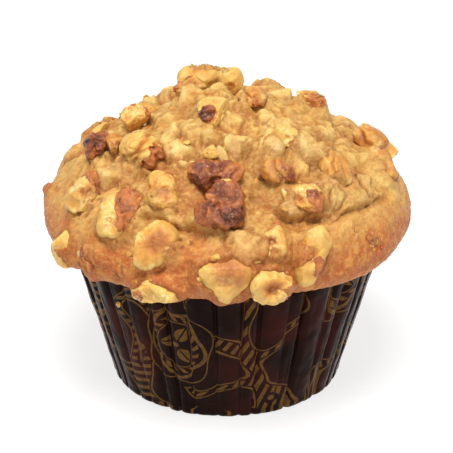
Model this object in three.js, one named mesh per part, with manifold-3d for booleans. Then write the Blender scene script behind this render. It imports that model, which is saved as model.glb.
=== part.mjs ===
// A large walnut muffin baked in a pleated paper case.
//
// Three kinds of solid: the cake, whose domed crown spreads over the case's edge; the case, a thin
// pleated cup with a flat base; and the broken walnut kernels, each half sunk in a pocket of its own.
// Millimetres, +Z up. The origin is the centre of the case's flat base, and -Y is the front.
import * as THREE from "three";
import { mergeVertices } from "three/addons/utils/BufferGeometryUtils.js";
import Module from "manifold-3d";

// ---------------------------------------------------------------- driving dimensions
const CASE_BASE_R = 29.4; // a pleat's crest, carried down to the base
const CASE_FLARE = 0.283; // radius gained for each millimetre of height
const CASE_HEIGHT = 38; // the edge, tucked under the crown
const FOLD_HEIGHT = 1.8; // the rounded fold at the foot
const FOLD_INSET = 1.1; // how far the base lies inside the fold
const PLEATS = 40;
const PLEAT_DEPTH_BASE = 0.7; // crest to valley at the base
const PLEAT_DEPTH_EDGE = 1.7; // crest to valley at the edge
const PLEAT_WANDER = 0.18; // how far a crest or a valley strays sideways, in pleat widths
const PLEAT_UNEVEN = 0.3; // how much one valley's depth differs from the next
const PAPER = 0.5; // wall thickness
const CROWN_R = 45.5; // widest line of the crown
const CROWN_Z = 43.5; // height of the widest line
const PEAK_Z = 74;
const CROWN_POINT = 1.58; // superellipse exponent: 2 is a true ellipse, less is more peaked
const CAKE_FOOT_R = 27.0; // cake's own radius on the case's base
const CAKE_NECK_R = 37.1; // cake's own radius where it leaves the case
const GAP = 0.35; // between touching pieces

// relief of the crown: height and spacing of its broad swells and of its scooped lumps, the latitudes
// between which the smooth rim turns lumpy, and those between which the underside turns plain
const SWELL = { height: 0.7, spacing: 30, seed: 1 };
const SCOOP = { height: 0.75, spacing: 10, seed: 2 };
const RIM_TO_LUMPY = [5, 38];
const UNDERSIDE_TO_PLAIN = [-25, -80];

// shape of a walnut kernel, in shares of its radius: lobes and finer knobs, a hollow, and broken faces
const LOBE = { height: 0.13, spacing: 1.5 };
const KNOB = { height: 0.05, spacing: 0.75 };
const HOLLOW_SPREAD = 0.16; // 1 less the cosine of the angle at which a hollow fades
const HOLLOW_TILT = 0.4; // how far a hollow may lie off the outer face's middle
const BREAKS = 3; // flat broken faces on a kernel
const BREAK_TILT = 0.35;
const BREAK_REACH = 0.74; // distance of a broken face, as a share of the whole kernel's reach
const BREAK_REACH_DRAW = 0.16; // and how much that varies

// ---------------------------------------------------------------- resolution
const TOP_CELLS = 28; // cells across the square that is mapped to the crown's disc
const UNDER_ROWS = 3; // rows from the widest line to the neck
const KERNEL_DETAIL = 1; // icosahedron subdivision of a kernel
const LARGE_DETAIL = 2; // and of a kernel longer than LARGE_LENGTH
const LARGE_LENGTH = 13.2;

// ---------------------------------------------------------------- small helpers
const RAD = Math.PI / 180;
const GOLDEN_TURN = Math.PI * (3 - Math.sqrt(5));
const GOLDEN_PART = 0.618034;
const fraction = (x) => x - Math.floor(x);
const mix = (a, b, t) => a + (b - a) * t;
const smooth = ([from, to], x) => {
  const t = THREE.MathUtils.clamp((x - from) / (to - from), 0, 1);
  return t * t * (3 - 2 * t);
};

// A fixed draw between -1 and 1, its own for each seed and use: the digits far down in a sine.
const draw = (seed, use) =>
  2 * fraction(1e4 * Math.sin(seed * 12.9898 + use * 78.233)) - 1;

// A smooth bumpy field of about -1 to 1: the sum of eight plane waves whose directions spread evenly
// over a half sphere. spacing is the usual distance between two bumps.
const WAVES = 8;
function waves(p, spacing, seed) {
  let sum = 0;
  for (let i = 0; i < WAVES; i++) {
    const up = (i + 0.5) / WAVES;
    const flat = Math.sqrt(1 - up * up);
    const turn = i * GOLDEN_TURN + seed;
    const along =
      p.x * flat * Math.cos(turn) + p.y * flat * Math.sin(turn) + p.z * up;
    const pitch = spacing / (0.75 + 0.5 * fraction(i * GOLDEN_PART));
    const phase = seed * (i + 1) * 1.7;
    sum += Math.sin((2 * Math.PI * along) / pitch + phase);
  }
  return sum / Math.sqrt(WAVES);
}

// ---------------------------------------------------------------- the cake's skin
// Places on the crown are an azimuth, 0 at +X and -90 at the front, and a latitude: 90 at the peak,
// 0 at the widest line, -90 where the underside meets the case.
function crownBase(azimuth, latitude) {
  const c = Math.cos(latitude * RAD);
  const s = Math.sin(latitude * RAD);
  const above = latitude >= 0;
  const r = above
    ? CROWN_R * Math.pow(Math.max(c, 0), 2 / CROWN_POINT)
    : mix(CAKE_NECK_R, CROWN_R, c);
  const z = above
    ? mix(CROWN_Z, PEAK_Z, s)
    : mix(CROWN_Z, CASE_HEIGHT + GAP, -s);
  return new THREE.Vector3(
    r * Math.cos(azimuth * RAD),
    r * Math.sin(azimuth * RAD),
    z,
  );
}

// The tangent frame at a place: east runs anticlockwise, up climbs towards the peak, out leaves the
// cake.
function crownFrame(azimuth, latitude) {
  const step = 0.1;
  const centre = crownBase(azimuth, latitude);
  const east = new THREE.Vector3(
    -Math.sin(azimuth * RAD),
    Math.cos(azimuth * RAD),
    0,
  );
  const up = crownBase(azimuth, latitude + step)
    .sub(crownBase(azimuth, latitude - step))
    .normalize();
  const out = new THREE.Vector3().crossVectors(east, up).normalize();
  return { centre, east, up, out };
}

// Creases where the batter folded over itself: azimuth and latitude of points along each, its depth
// and its width.
const CREASES = [
  { points: [[-80, 38], [-68, 27], [-52, 24], [-36, 22], [-24, 20]], depth: 1.7, width: 1.5 },
  { points: [[-84, 57], [-72, 50], [-72, 41]], depth: 1.6, width: 1.8 },
  { points: [[-44, 47], [-50, 38], [-40, 33]], depth: 1.2, width: 1.3 },
  { points: [[-118, 26], [-98, 22], [-84, 26]], depth: 1.1, width: 1.6 },
  { points: [[-150, 38], [-132, 40], [-118, 46]], depth: 0.9, width: 1.5 },
  { points: [[30, 40], [52, 30], [80, 29]], depth: 1.4, width: 1.6 },
  { points: [[100, 30], [122, 25], [150, 20]], depth: 1.3, width: 1.6 },
].map(({ points, depth, width }) => ({
  places: points.map(([azimuth, latitude]) => crownBase(azimuth, latitude)),
  depth,
  width,
}));

// Lumps that the batter covers, the fat roll at the rim, and the flatter shoulders, whose height is
// negative: azimuth, latitude, height, radius.
const LUMPS = [
  [-30, 58, 2.2, 9],
  [-46, 55, 1.5, 6],
  [-83, 19, 2.6, 4.5],
  [-38, 9, 1.2, 14],
  [-12, 16, 0.9, 12],
  [-88, 60, 1.1, 4],
  [-120, 58, 1.1, 5],
  [-60, 74, 1.0, 5],
  [-104, 8, 0.8, 9],
  [-140, 12, 0.8, 9],
  [70, 55, 1.6, 8],
  [110, 46, 1.3, 7],
  [35, 12, 1.0, 12],
  [90, 6, 0.9, 12],
  [174, 38, -2.6, 13],
  [150, 50, -2.2, 11],
  [20, 44, -1.8, 9],
  [75, 66, -0.8, 9],
].map(([azimuth, latitude, height, radius]) => ({
  place: crownBase(azimuth, latitude),
  height,
  radius,
}));

// Distance from a point to the nearest stretch of a crease.
function creaseDistance(p, places) {
  const nearest = new THREE.Vector3();
  let best = Infinity;
  for (let i = 1; i < places.length; i++) {
    new THREE.Line3(places[i - 1], places[i]).closestPointToPoint(
      p,
      true,
      nearest,
    );
    best = Math.min(best, nearest.distanceTo(p));
  }
  return best;
}

// How far the skin stands out of the crown's plain shape, in mm: broad swells, lumps as of scooped
// batter above the smooth rim, the named lumps, and the creases, all gone at the neck.
function relief(latitude, p) {
  const lumpy = smooth(RIM_TO_LUMPY, latitude);
  let height = SWELL.height * waves(p, SWELL.spacing, SWELL.seed);
  height += lumpy * SCOOP.height * waves(p, SCOOP.spacing, SCOOP.seed);
  for (const lump of LUMPS)
    height += lump.height * Math.exp(-((p.distanceTo(lump.place) / lump.radius) ** 2));
  for (const crease of CREASES)
    height -= crease.depth * Math.exp(-((creaseDistance(p, crease.places) / crease.width) ** 2));
  return height * (1 - smooth(UNDERSIDE_TO_PLAIN, latitude));
}

function crownSkin(azimuth, latitude) {
  const { centre, out } = crownFrame(azimuth, Math.min(latitude, 89.5));
  const place = crownBase(azimuth, latitude);
  if (latitude > 89.9) out.set(0, 0, 1);
  return place.addScaledVector(out, relief(latitude, centre));
}

// ---------------------------------------------------------------- mesh building
function geometryFrom(points, faces) {
  const geometry = new THREE.BufferGeometry();
  geometry.setAttribute(
    "position",
    new THREE.Float32BufferAttribute(
      points.flatMap((p) => [p.x, p.y, p.z]),
      3,
    ),
  );
  geometry.setIndex(faces.flat());
  return geometry;
}

// The quads between two closed rings of vertex numbers, as triangles.
function bridge(lower, upper) {
  return lower.flatMap((a, i) => {
    const next = (i + 1) % lower.length;
    return [
      [a, lower[next], upper[next]],
      [a, upper[next], upper[i]],
    ];
  });
}

// A square from -1 to 1 mapped to the unit disc, square rings to circles: distance out and angle.
function discFromSquare(u, v) {
  if (u === 0 && v === 0) return [0, 0];
  return Math.abs(u) > Math.abs(v)
    ? [Math.abs(u), (Math.PI / 4) * (v / u) + (u < 0 ? Math.PI : 0)]
    : [Math.abs(v), Math.PI / 2 - (Math.PI / 4) * (u / v) + (v < 0 ? Math.PI : 0)];
}

// The cake: the crown's top on the mapped square, rings down its underside, and the plain body inside
// the case.
function cakeGeometry() {
  const points = [];
  const faces = [];
  const n = TOP_CELLS;
  const number = (i, j) => i * (n + 1) + j;
  for (let i = 0; i <= n; i++)
    for (let j = 0; j <= n; j++) {
      const [out, angle] = discFromSquare((2 * i) / n - 1, (2 * j) / n - 1);
      points.push(crownSkin(angle / RAD, 90 * (1 - out)));
    }
  for (let i = 0; i < n; i++)
    for (let j = 0; j < n; j++) {
      const a = number(i, j);
      const b = number(i + 1, j);
      const c = number(i + 1, j + 1);
      const d = number(i, j + 1);
      // the diagonal turns with the quarter, so that cells near the corners stay round
      if ((i < n / 2) === (j < n / 2)) faces.push([a, b, c], [a, c, d]);
      else faces.push([a, b, d], [b, c, d]);
    }
  const side = [...Array(n).keys()];
  let ring = [
    ...side.map((k) => number(k, 0)),
    ...side.map((k) => number(n, k)),
    ...side.map((k) => number(n - k, n)),
    ...side.map((k) => number(0, n - k)),
  ];
  const azimuths = ring.map((k) => Math.atan2(points[k].y, points[k].x) / RAD);
  const addRing = (place) => {
    const next = azimuths.map((azimuth) => points.push(place(azimuth)) - 1);
    faces.push(...bridge(next, ring));
    ring = next;
  };
  for (let row = 1; row <= UNDER_ROWS; row++)
    addRing((azimuth) => crownSkin(azimuth, (-90 * row) / UNDER_ROWS));
  const foot = PAPER + GAP;
  addRing(
    (azimuth) =>
      new THREE.Vector3(
        CAKE_FOOT_R * Math.cos(azimuth * RAD),
        CAKE_FOOT_R * Math.sin(azimuth * RAD),
        foot,
      ),
  );
  const middle = points.push(new THREE.Vector3(0, 0, foot)) - 1;
  ring.forEach((a, i) => faces.push([a, middle, ring[(i + 1) % ring.length]]));
  return geometryFrom(points, faces);
}

// ---------------------------------------------------------------- the case
// Outer radius of the case at a pleat's crest, and the depth of the pleats at that height.
const crestRadius = (z) => CASE_BASE_R + CASE_FLARE * z;
const pleatDepth = (z) =>
  mix(PLEAT_DEPTH_BASE, PLEAT_DEPTH_EDGE, z / CASE_HEIGHT);

// A pleated ring at a height of the wall: crests and valleys in turn, each wandering a little.
function pleatRing(z, inset) {
  return [...Array(2 * PLEATS).keys()].map((k) => {
    const angle = ((k / 2 + PLEAT_WANDER * draw(k, 0)) / PLEATS) * 2 * Math.PI;
    const valley = k % 2 ? pleatDepth(z) * (1 + PLEAT_UNEVEN * draw(k, 1)) : 0;
    const r = crestRadius(z) - valley - inset;
    return new THREE.Vector3(r * Math.cos(angle), r * Math.sin(angle), z);
  });
}

// The case: outside of the base, fold and wall up to the edge, then down inside to the base again.
function caseGeometry() {
  const points = [];
  const faces = [];
  const add = (ring) => ring.map((p) => points.push(p) - 1);
  const fan = (ring, z, facesDown) => {
    const middle = points.push(new THREE.Vector3(0, 0, z)) - 1;
    ring.forEach((a, i) => {
      const b = ring[(i + 1) % ring.length];
      faces.push(facesDown ? [a, middle, b] : [a, b, middle]);
    });
  };
  const radialPaper = 1.25 * PAPER; // measured along the radius, across a slanting pleat
  const wall = (z, inset) => add(pleatRing(z, inset));
  const base = (z, inset) =>
    add(pleatRing(FOLD_HEIGHT, FOLD_INSET + inset).map((p) => p.setZ(z)));
  const rings = [
    base(0, 0),
    wall(FOLD_HEIGHT, 0),
    wall(CASE_HEIGHT, 0),
    wall(CASE_HEIGHT, radialPaper),
    wall(FOLD_HEIGHT, radialPaper),
    base(PAPER, radialPaper),
  ];
  fan(rings[0], 0, true);
  for (let i = 1; i < rings.length; i++)
    faces.push(...bridge(rings[i - 1], rings[i]));
  fan(rings.at(-1), PAPER, false);
  return geometryFrom(points, faces);
}

// ---------------------------------------------------------------- the walnut kernels
// Each broken kernel: its azimuth and latitude on the crown, how far its middle stands out of the cake,
// its length, width and thickness, how its length is turned from east towards the peak, and how deep the
// hollow in its outer face is, as a share of its radius.
const KERNELS = [
  // on the peak
  { at: [116, 64], lift: 2.0, size: [12, 9, 7.5], turn: 0, dent: 0.1 },
  { at: [136, 68], lift: 1.3, size: [10, 7, 6], turn: 160, dent: 0.2 },
  { at: [84, 72], lift: 2.0, size: [8, 7.5, 7], turn: 90, dent: 0.15 },
  { at: [-14, 77], lift: 1.0, size: [10.5, 8, 6], turn: 155, dent: 0.3 },
  { at: [-106, 72], lift: 1.2, size: [10, 8, 6.5], turn: 40, dent: 0.2 },
  { at: [18, 57], lift: 1.1, size: [12.5, 8.5, 6], turn: 150, dent: 0.35 },
  { at: [-50, 59], lift: 1.0, size: [12.5, 7.5, 6], turn: 60, dent: 0 },
  // left shoulder
  { at: [-172, 56], lift: 1.0, size: [8, 8, 6], turn: 165, dent: 0.1 },
  { at: [-165, 41], lift: 1.0, size: [10, 6.5, 6], turn: 150, dent: 0.1 },
  { at: [-157, 46], lift: 0.8, size: [6, 5, 5], turn: 150, dent: 0.1 },
  { at: [-137, 49], lift: 1.2, size: [12, 9, 7], turn: 5, dent: 0.15 },
  { at: [-147, 25], lift: 1.0, size: [12.5, 9, 7], turn: 65, dent: 0.2 },
  { at: [-128, 25], lift: 1.0, size: [15.5, 9.5, 7], turn: 75, dent: 0.15 },
  { at: [-115, 37], lift: 0.8, size: [11.5, 8, 6], turn: 115, dent: 0.25 },
  { at: [-176, 13], lift: 0.4, size: [5, 4, 4], turn: 25, dent: 0 },
  // front
  { at: [-98, 53], lift: 0.8, size: [5, 4.5, 4.5], turn: 55, dent: 0 },
  { at: [-95, 45], lift: 1.0, size: [14.5, 7.5, 7], turn: 175, dent: 0.2 },
  { at: [-91, 33], lift: 1.2, size: [13.5, 12, 9], turn: 65, dent: 0.1 },
  { at: [-65, 44], lift: 1.0, size: [10, 7, 6], turn: 150, dent: 0.1 },
  { at: [-62, 34], lift: 0.6, size: [12.5, 8, 6], turn: 155, dent: 0.35 },
  { at: [-113, 15], lift: 1.0, size: [14.5, 10.5, 6.5], turn: 60, dent: 0.12 },
  { at: [-75, 19], lift: 0.4, size: [10, 8, 6], turn: 60, dent: 0.4 },
  { at: [-64, 10], lift: 0.9, size: [18, 8, 7], turn: 58, dent: 0.2 },
  // right shoulder
  { at: [-38, 40], lift: 0.6, size: [12, 9, 6], turn: 75, dent: 0.2 },
  { at: [2, 35], lift: 1.2, size: [12, 10.5, 6.5], turn: 150, dent: 0.1 },
  { at: [-12, 30], lift: 1.0, size: [12.5, 7, 6], turn: 60, dent: 0 },
  { at: [12, 23], lift: 1.0, size: [7, 6, 6], turn: 155, dent: 0 },
  // front rim
  { at: [-148, 2], lift: 0.5, size: [11, 7.5, 6.5], turn: 75, dent: 0 },
  { at: [-133, 5], lift: 0.3, size: [9, 7, 6], turn: 115, dent: 0.2 },
  { at: [-111, -12], lift: 0.5, size: [13.5, 7, 7], turn: 0, dent: 0.1 },
  { at: [-90, 4], lift: 0.7, size: [13, 12, 7.5], turn: 10, dent: 0.2 },
  { at: [-78, 1], lift: 1.2, size: [12.5, 9, 8], turn: 165, dent: 0.4 },
  // back
  { at: [64, 18], lift: 0.4, size: [12, 9, 7], turn: 30, dent: 0.2 },
  { at: [90, 36], lift: 0.7, size: [10, 8, 6], turn: 100, dent: 0.1 },
  { at: [66, 46], lift: -0.8, size: [10, 8, 5.5], turn: 80, dent: 0.1 },
  { at: [104, 50], lift: -2.0, size: [10, 8, 5.5], turn: 10, dent: 0.2 },
  { at: [148, 50], lift: -3.2, size: [10, 8, 6], turn: 130, dent: 0.1 },
  { at: [148, 28], lift: -1.6, size: [11, 8, 6], turn: 60, dent: 0.2 },
  { at: [158, 12], lift: -1.2, size: [9, 7, 6], turn: 90, dent: 0 },
  { at: [114, 37], lift: 0.4, size: [9, 7, 5.5], turn: 20, dent: 0.1 },
  { at: [122, 19], lift: 0.8, size: [13, 8.5, 7], turn: 140, dent: 0.25 },
  { at: [42, 13], lift: 0.8, size: [13, 10, 7], turn: 15, dent: 0.15 },
  { at: [82, 14], lift: 0.8, size: [10, 7, 6], turn: 75, dent: 0.3 },
  { at: [100, 10], lift: 0.8, size: [14, 10, 7.5], turn: 160, dent: 0.1 },
  { at: [143, 4], lift: 0.7, size: [11, 8, 6.5], turn: 45, dent: 0.2 },
  { at: [60, -4], lift: 0.7, size: [11, 8, 6.5], turn: 170, dent: 0 },
  { at: [88, -8], lift: 0.7, size: [12, 8, 7], turn: 20, dent: 0.15 },
  { at: [122, -7], lift: 0.6, size: [9, 7, 6], turn: 100, dent: 0.1 },
  { at: [24, -4], lift: 0.5, size: [9, 7, 6], turn: 30, dent: 0.1 },
].map(({ at, lift, size, turn, dent }, i) => ({
  name: `walnut_${String(i + 1).padStart(2, "0")}`,
  seed: i + 1,
  azimuth: at[0],
  latitude: at[1],
  lift,
  half: new THREE.Vector3(...size).divideScalar(2),
  turn,
  dent,
}));

// The distance from a kernel's middle to its skin in a direction, before it is fitted to its size: an
// ellipsoid with soft lobes, a hollow in the outer face, and flat breaks where it snapped.
function kernelRadius({ half, seed, dent }, d) {
  const ellipsoid = 1 / Math.hypot(d.x / half.x, d.y / half.y, d.z / half.z);
  const lobes =
    1 +
    LOBE.height * waves(d, LOBE.spacing, seed) +
    KNOB.height * waves(d, KNOB.spacing, seed + KERNELS.length);
  const hollowAt = new THREE.Vector3(
    HOLLOW_TILT * draw(seed, 0),
    HOLLOW_TILT * draw(seed, 1),
    1,
  ).normalize();
  const hollow = 1 - dent * Math.exp(-(((1 - d.dot(hollowAt)) / HOLLOW_SPREAD) ** 2));
  let r = ellipsoid * lobes * hollow;
  for (let i = 0; i < BREAKS; i++) {
    const turn = (i / BREAKS) * 2 * Math.PI + seed;
    const normal = new THREE.Vector3(
      Math.cos(turn),
      Math.sin(turn),
      BREAK_TILT * draw(seed, i),
    ).normalize();
    const whole = Math.hypot(half.x * normal.x, half.y * normal.y, half.z * normal.z);
    const kept = whole * (BREAK_REACH + BREAK_REACH_DRAW * draw(seed, i + BREAKS));
    r = Math.min(r, kept / Math.max(d.dot(normal), 0.05));
  }
  return r;
}

// A kernel's closed mesh, in the muffin's frame, grown outwards by grow.
function kernelGeometry(kernel, grow) {
  const { centre, east, up, out } = crownFrame(kernel.azimuth, kernel.latitude);
  const detail = 2 * kernel.half.x > LARGE_LENGTH ? LARGE_DETAIL : KERNEL_DETAIL;
  const sphere = new THREE.IcosahedronGeometry(1, detail);
  sphere.deleteAttribute("normal");
  sphere.deleteAttribute("uv");
  const geometry = mergeVertices(sphere, 1e-4);
  const position = geometry.attributes.position;
  const directions = [...Array(position.count).keys()].map((i) =>
    new THREE.Vector3().fromBufferAttribute(position, i).normalize(),
  );
  const skin = directions.map((d) => d.clone().multiplyScalar(kernelRadius(kernel, d)));
  const box = new THREE.Box3().setFromPoints(skin);
  const middle = box.getCenter(new THREE.Vector3());
  const fit = kernel.half.clone().multiplyScalar(2).divide(box.getSize(new THREE.Vector3()));
  skin.forEach((p, i) => {
    p.sub(middle).multiply(fit).addScaledVector(directions[i], grow);
    position.setXYZ(i, p.x, p.y, p.z);
  });
  const turn = kernel.turn * RAD;
  const long = east.clone().multiplyScalar(Math.cos(turn)).addScaledVector(up, Math.sin(turn));
  const wide = new THREE.Vector3().crossVectors(out, long);
  return geometry.applyMatrix4(
    new THREE.Matrix4()
      .makeBasis(long, wide, out)
      .setPosition(centre.addScaledVector(out, kernel.lift)),
  );
}

// ---------------------------------------------------------------- cutting pockets
const wasm = await Module();
wasm.setup();

function solidFrom(geometry) {
  const merged = mergeVertices(geometry, 1e-5);
  return new wasm.Manifold(
    new wasm.Mesh({
      numProp: 3,
      vertProperties: merged.attributes.position.array,
      triVerts: new Uint32Array(merged.index.array),
    }),
  );
}

function geometryFromSolid(solid) {
  const { vertProperties, triVerts } = solid.getMesh();
  const geometry = new THREE.BufferGeometry();
  geometry.setAttribute("position", new THREE.BufferAttribute(new Float32Array(vertProperties), 3));
  geometry.setIndex(new THREE.BufferAttribute(new Uint32Array(triVerts), 1));
  return geometry;
}

// The largest of the bodies that a cut leaves, so that no loose scrap is kept.
const largest = (solid) =>
  solid.decompose().reduce((a, b) => (b.volume() > a.volume() ? b : a));

let cake = solidFrom(cakeGeometry());
const kernelSolids = [];
const grownKernels = [];
for (const kernel of KERNELS) {
  let solid = solidFrom(kernelGeometry(kernel, 0));
  for (const earlier of grownKernels) solid = solid.subtract(earlier);
  kernelSolids.push(largest(solid));
  grownKernels.push(solidFrom(kernelGeometry(kernel, GAP)));
}
for (const grown of grownKernels) cake = cake.subtract(grown);
cake = largest(cake);

// ---------------------------------------------------------------- materials and the group
const CRUST = new THREE.MeshStandardMaterial({ color: "#dba45f", roughness: 0.6, metalness: 0 });
const KERNEL = new THREE.MeshStandardMaterial({ color: "#e2b062", roughness: 0.45, metalness: 0 });
const BROWN_PAPER = new THREE.MeshStandardMaterial({ color: "#2b1d1b", roughness: 0.35, metalness: 0 });

const muffin = new THREE.Group();
function addPiece(name, geometry, material) {
  const mesh = new THREE.Mesh(geometry, material);
  mesh.name = name;
  muffin.add(mesh);
}
addPiece("cake", geometryFromSolid(cake), CRUST);
addPiece("paper_case", caseGeometry(), BROWN_PAPER);
KERNELS.forEach((kernel, i) =>
  addPiece(kernel.name, geometryFromSolid(kernelSolids[i]), KERNEL),
);

export default muffin;
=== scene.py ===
# %% [markdown]
# # A walnut muffin in its paper cup
#
# The real thing is a large bakery muffin: a golden cake whose crown has spread over the edge of a
# dark brown paper cup, studded with broken walnut kernels. The solids of the frame give each piece
# its place and its size. This lesson dresses them, one piece of the real muffin at a time, as
# surfaces worked out with numpy: the kernels first, because the batter climbs against them, then the
# cake, the cup and the crumbs, and last the finishes, the light and the camera.

# %% Load the frame
import math

import bpy
import numpy as np
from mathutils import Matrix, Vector


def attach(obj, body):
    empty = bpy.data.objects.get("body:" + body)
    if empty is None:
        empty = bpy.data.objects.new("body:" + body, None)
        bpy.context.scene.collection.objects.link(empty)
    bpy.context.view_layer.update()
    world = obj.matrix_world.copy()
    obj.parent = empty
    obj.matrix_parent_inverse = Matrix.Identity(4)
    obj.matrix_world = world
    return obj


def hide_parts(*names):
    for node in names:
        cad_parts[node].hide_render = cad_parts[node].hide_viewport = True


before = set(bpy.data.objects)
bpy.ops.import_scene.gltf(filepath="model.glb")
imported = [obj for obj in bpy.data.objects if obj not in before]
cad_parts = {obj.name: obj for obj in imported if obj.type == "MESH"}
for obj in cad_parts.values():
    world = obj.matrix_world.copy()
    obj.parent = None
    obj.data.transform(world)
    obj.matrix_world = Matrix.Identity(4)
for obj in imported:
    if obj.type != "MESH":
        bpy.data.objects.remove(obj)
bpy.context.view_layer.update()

# %% [markdown]
# ## Units, colours and small maths
#
# Shapes are worked out in millimetres, as a baker or a box maker would measure them, and turned to
# metres only when a mesh is made. Colours are written as sRGB hex, the way a picture editor shows
# them, and turned to the linear values that shaders work in.

# %% Units and colours
MM = 0.001


def linear(hex_colour):
    """An sRGB hex colour as linear red, green, blue and 1.

    Each channel c becomes c / 12.92 where it is dark, and ((c + 0.055) / 1.055) ** 2.4 elsewhere.
    """
    channel = np.array([int(hex_colour[i : i + 2], 16) for i in (1, 3, 5)]) / 255
    bright = ((channel + 0.055) / 1.055) ** 2.4
    return (*np.where(channel <= 0.04045, channel / 12.92, bright), 1.0)


print("white as linear:", linear("#ffffff"))


# %% Small maths
def mix(a, b, share):
    """a at share 0, b at share 1, and a straight line between."""
    return a + (b - a) * share


def smooth(x, start, end):
    """0 at start, 1 at end, with a soft S between: t * t * (3 - 2 t)."""
    t = np.clip((x - start) / (end - start), 0, 1)
    return t * t * (3 - 2 * t)


def bell(distance, width):
    """1 at distance 0, falling away as exp(-(distance / width) squared)."""
    return np.exp(-((distance / width) ** 2))


def unit(vectors):
    """Vectors of length 1 along the given ones."""
    return vectors / np.linalg.norm(vectors, axis=-1, keepdims=True)


def away_from(p, place):
    """Distance of points from a place."""
    return np.linalg.norm(p - place, axis=-1)


def fraction(x):
    """What is left of x above its whole part."""
    return x - np.floor(x)


def draw(seed, use):
    """A fixed draw from -1 to 1 for each seed and use: the digits far down in a sine."""
    return 2 * fraction(1e4 * np.sin(seed * 12.9898 + use * 78.233)) - 1


print("five draws:", np.round(draw(np.arange(5), 0), 2))

# %% [markdown]
# ## Uneven fields
#
# Nothing baked is even. Three fields give all of this muffin's unevenness. `waves` is the smooth
# swelling that the solids have too, so that the dressed cake keeps their form. `grain` is gradient
# noise: soft bumps with no direction, for crumb and for wrinkles. `pebbles` is cell noise: rounded
# lumps that meet in creases, which is how thick batter and walnut lobes lie against each other.

# %% Three fields
GOLDEN_TURN = math.pi * (3 - math.sqrt(5))
GOLDEN_PART = 0.618034
WAVES = 8


def waves(p, spacing, seed):
    """A smooth field of about -1 to 1: the sum of eight plane waves, sin(2 pi along / pitch + phase).

    Their directions spread evenly over a half sphere and their pitches lie round the spacing.
    """
    i = np.arange(WAVES)
    up = (i + 0.5) / WAVES
    flat = np.sqrt(1 - up * up)
    turn = i * GOLDEN_TURN + seed
    axes = np.stack([flat * np.cos(turn), flat * np.sin(turn), up])
    pitch = spacing / (0.75 + 0.5 * fraction(i * GOLDEN_PART))
    return np.sin(2 * np.pi * (p @ axes) / pitch + seed * (i + 1) * 1.7).sum(-1) / np.sqrt(WAVES)


def lattice_draws(cell, seed):
    """Three fixed draws from 0 to 1 for each cell of a cubic lattice."""
    key = cell @ np.array([127.1, 311.7, 74.7]) + seed * 19.19
    return fraction(np.sin(key[..., None] + np.array([0.0, 1.3, 2.9])) * 43758.5453)


def grain(p, spacing, seed):
    """Gradient noise of about -1 to 1: each lattice corner has a slope, and the eight are blended."""
    place = p / spacing
    cell = np.floor(place)
    inside = place - cell
    fade = inside**3 * (inside * (inside * 6 - 15) + 10)
    total = 0
    for corner in np.ndindex(2, 2, 2):
        slope = unit(lattice_draws(cell + corner, seed) - 0.5)
        share = np.where(corner, fade, 1 - fade).prod(-1)
        total = total + share * ((inside - corner) * slope).sum(-1)
    return 1.6 * total


def grain_vector(p, spacing, seed):
    """Three fields of grain side by side: a vector at each point, to bend a pattern with."""
    return np.stack([grain(p, spacing, seed + n) for n in range(3)], -1)


def pebbles(p, spacing, seed, soft=0.0):
    """Distance to the nearest of the seats strewn one to a cell, and how much nearer it is than the
    second nearest, in spacings.

    Where soft is above 0 the nearest is -soft * log(sum of exp(-distance / soft)), which rounds the
    creases between the pebbles.
    """
    place = p / spacing
    cell = np.floor(place)
    nearest = np.full(len(p), 9.0)
    second = nearest.copy()
    total = np.zeros(len(p))
    for step in np.ndindex(3, 3, 3):
        corner = cell + step - 1.0
        seat = corner + 0.1 + 0.8 * lattice_draws(corner, seed)
        distance = away_from(seat, place)
        second = np.minimum(second, np.maximum(nearest, distance))
        nearest = np.minimum(nearest, distance)
        if soft:
            total += np.exp(-distance / soft)
    apart = second - nearest
    return (-soft * np.log(total) if soft else nearest), apart


trial = np.random.default_rng(1).uniform(-50, 50, (2000, 3))
print("grain spreads", np.round(grain(trial, 5, 1).std(), 2), "pebbles", pebbles(trial, 5, 1)[0].mean())

# %% [markdown]
# ## Putting a surface into a mesh
#
# A mesh is a list of points, a list of faces that name them, and values carried by the points.
# `foreach_set` hands Blender whole arrays at once. The piece's object stays at the origin, and its
# place is in its points, so that patterns on object coordinates stay put. Values such as how deep
# the crust is baked ride along as point attributes for the materials to read.


# %% Mesh helpers
def ring_quads(rows, columns):
    """Quads of a surface of rows by columns points that closes round its columns."""
    number = np.arange(rows * columns).reshape(rows, columns)
    right = np.roll(number, -1, axis=1)
    return np.stack([number[:-1], right[:-1], right[1:], number[1:]], -1).reshape(-1, 4)


def make_piece(name, points, faces, fields=None, sheet=None):
    """An object whose mesh has these points in mm and these arrays of faces.

    fields are values at the points, and sheet is a flat place for each point, kept as a UV map.
    """
    corners = np.concatenate([part.ravel() for part in faces])
    sizes = np.concatenate([np.full(len(part), part.shape[1]) for part in faces])
    mesh = bpy.data.meshes.new(name)
    mesh.vertices.add(len(points))
    mesh.vertices.foreach_set("co", (np.asarray(points) * MM).ravel())
    mesh.loops.add(len(corners))
    mesh.loops.foreach_set("vertex_index", corners)
    mesh.polygons.add(len(sizes))
    mesh.polygons.foreach_set("loop_start", np.cumsum(sizes) - sizes)
    for field, values in (fields or {}).items():
        mesh.attributes.new(field, "FLOAT", "POINT").data.foreach_set("value", values)
    if sheet is not None:
        mesh.uv_layers.new(name="sheet").data.foreach_set("uv", sheet[corners].ravel())
    mesh.update(calc_edges=True)
    mesh.shade_smooth()
    piece = bpy.data.objects.new(name, mesh)
    bpy.context.scene.collection.objects.link(piece)
    return piece


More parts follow.
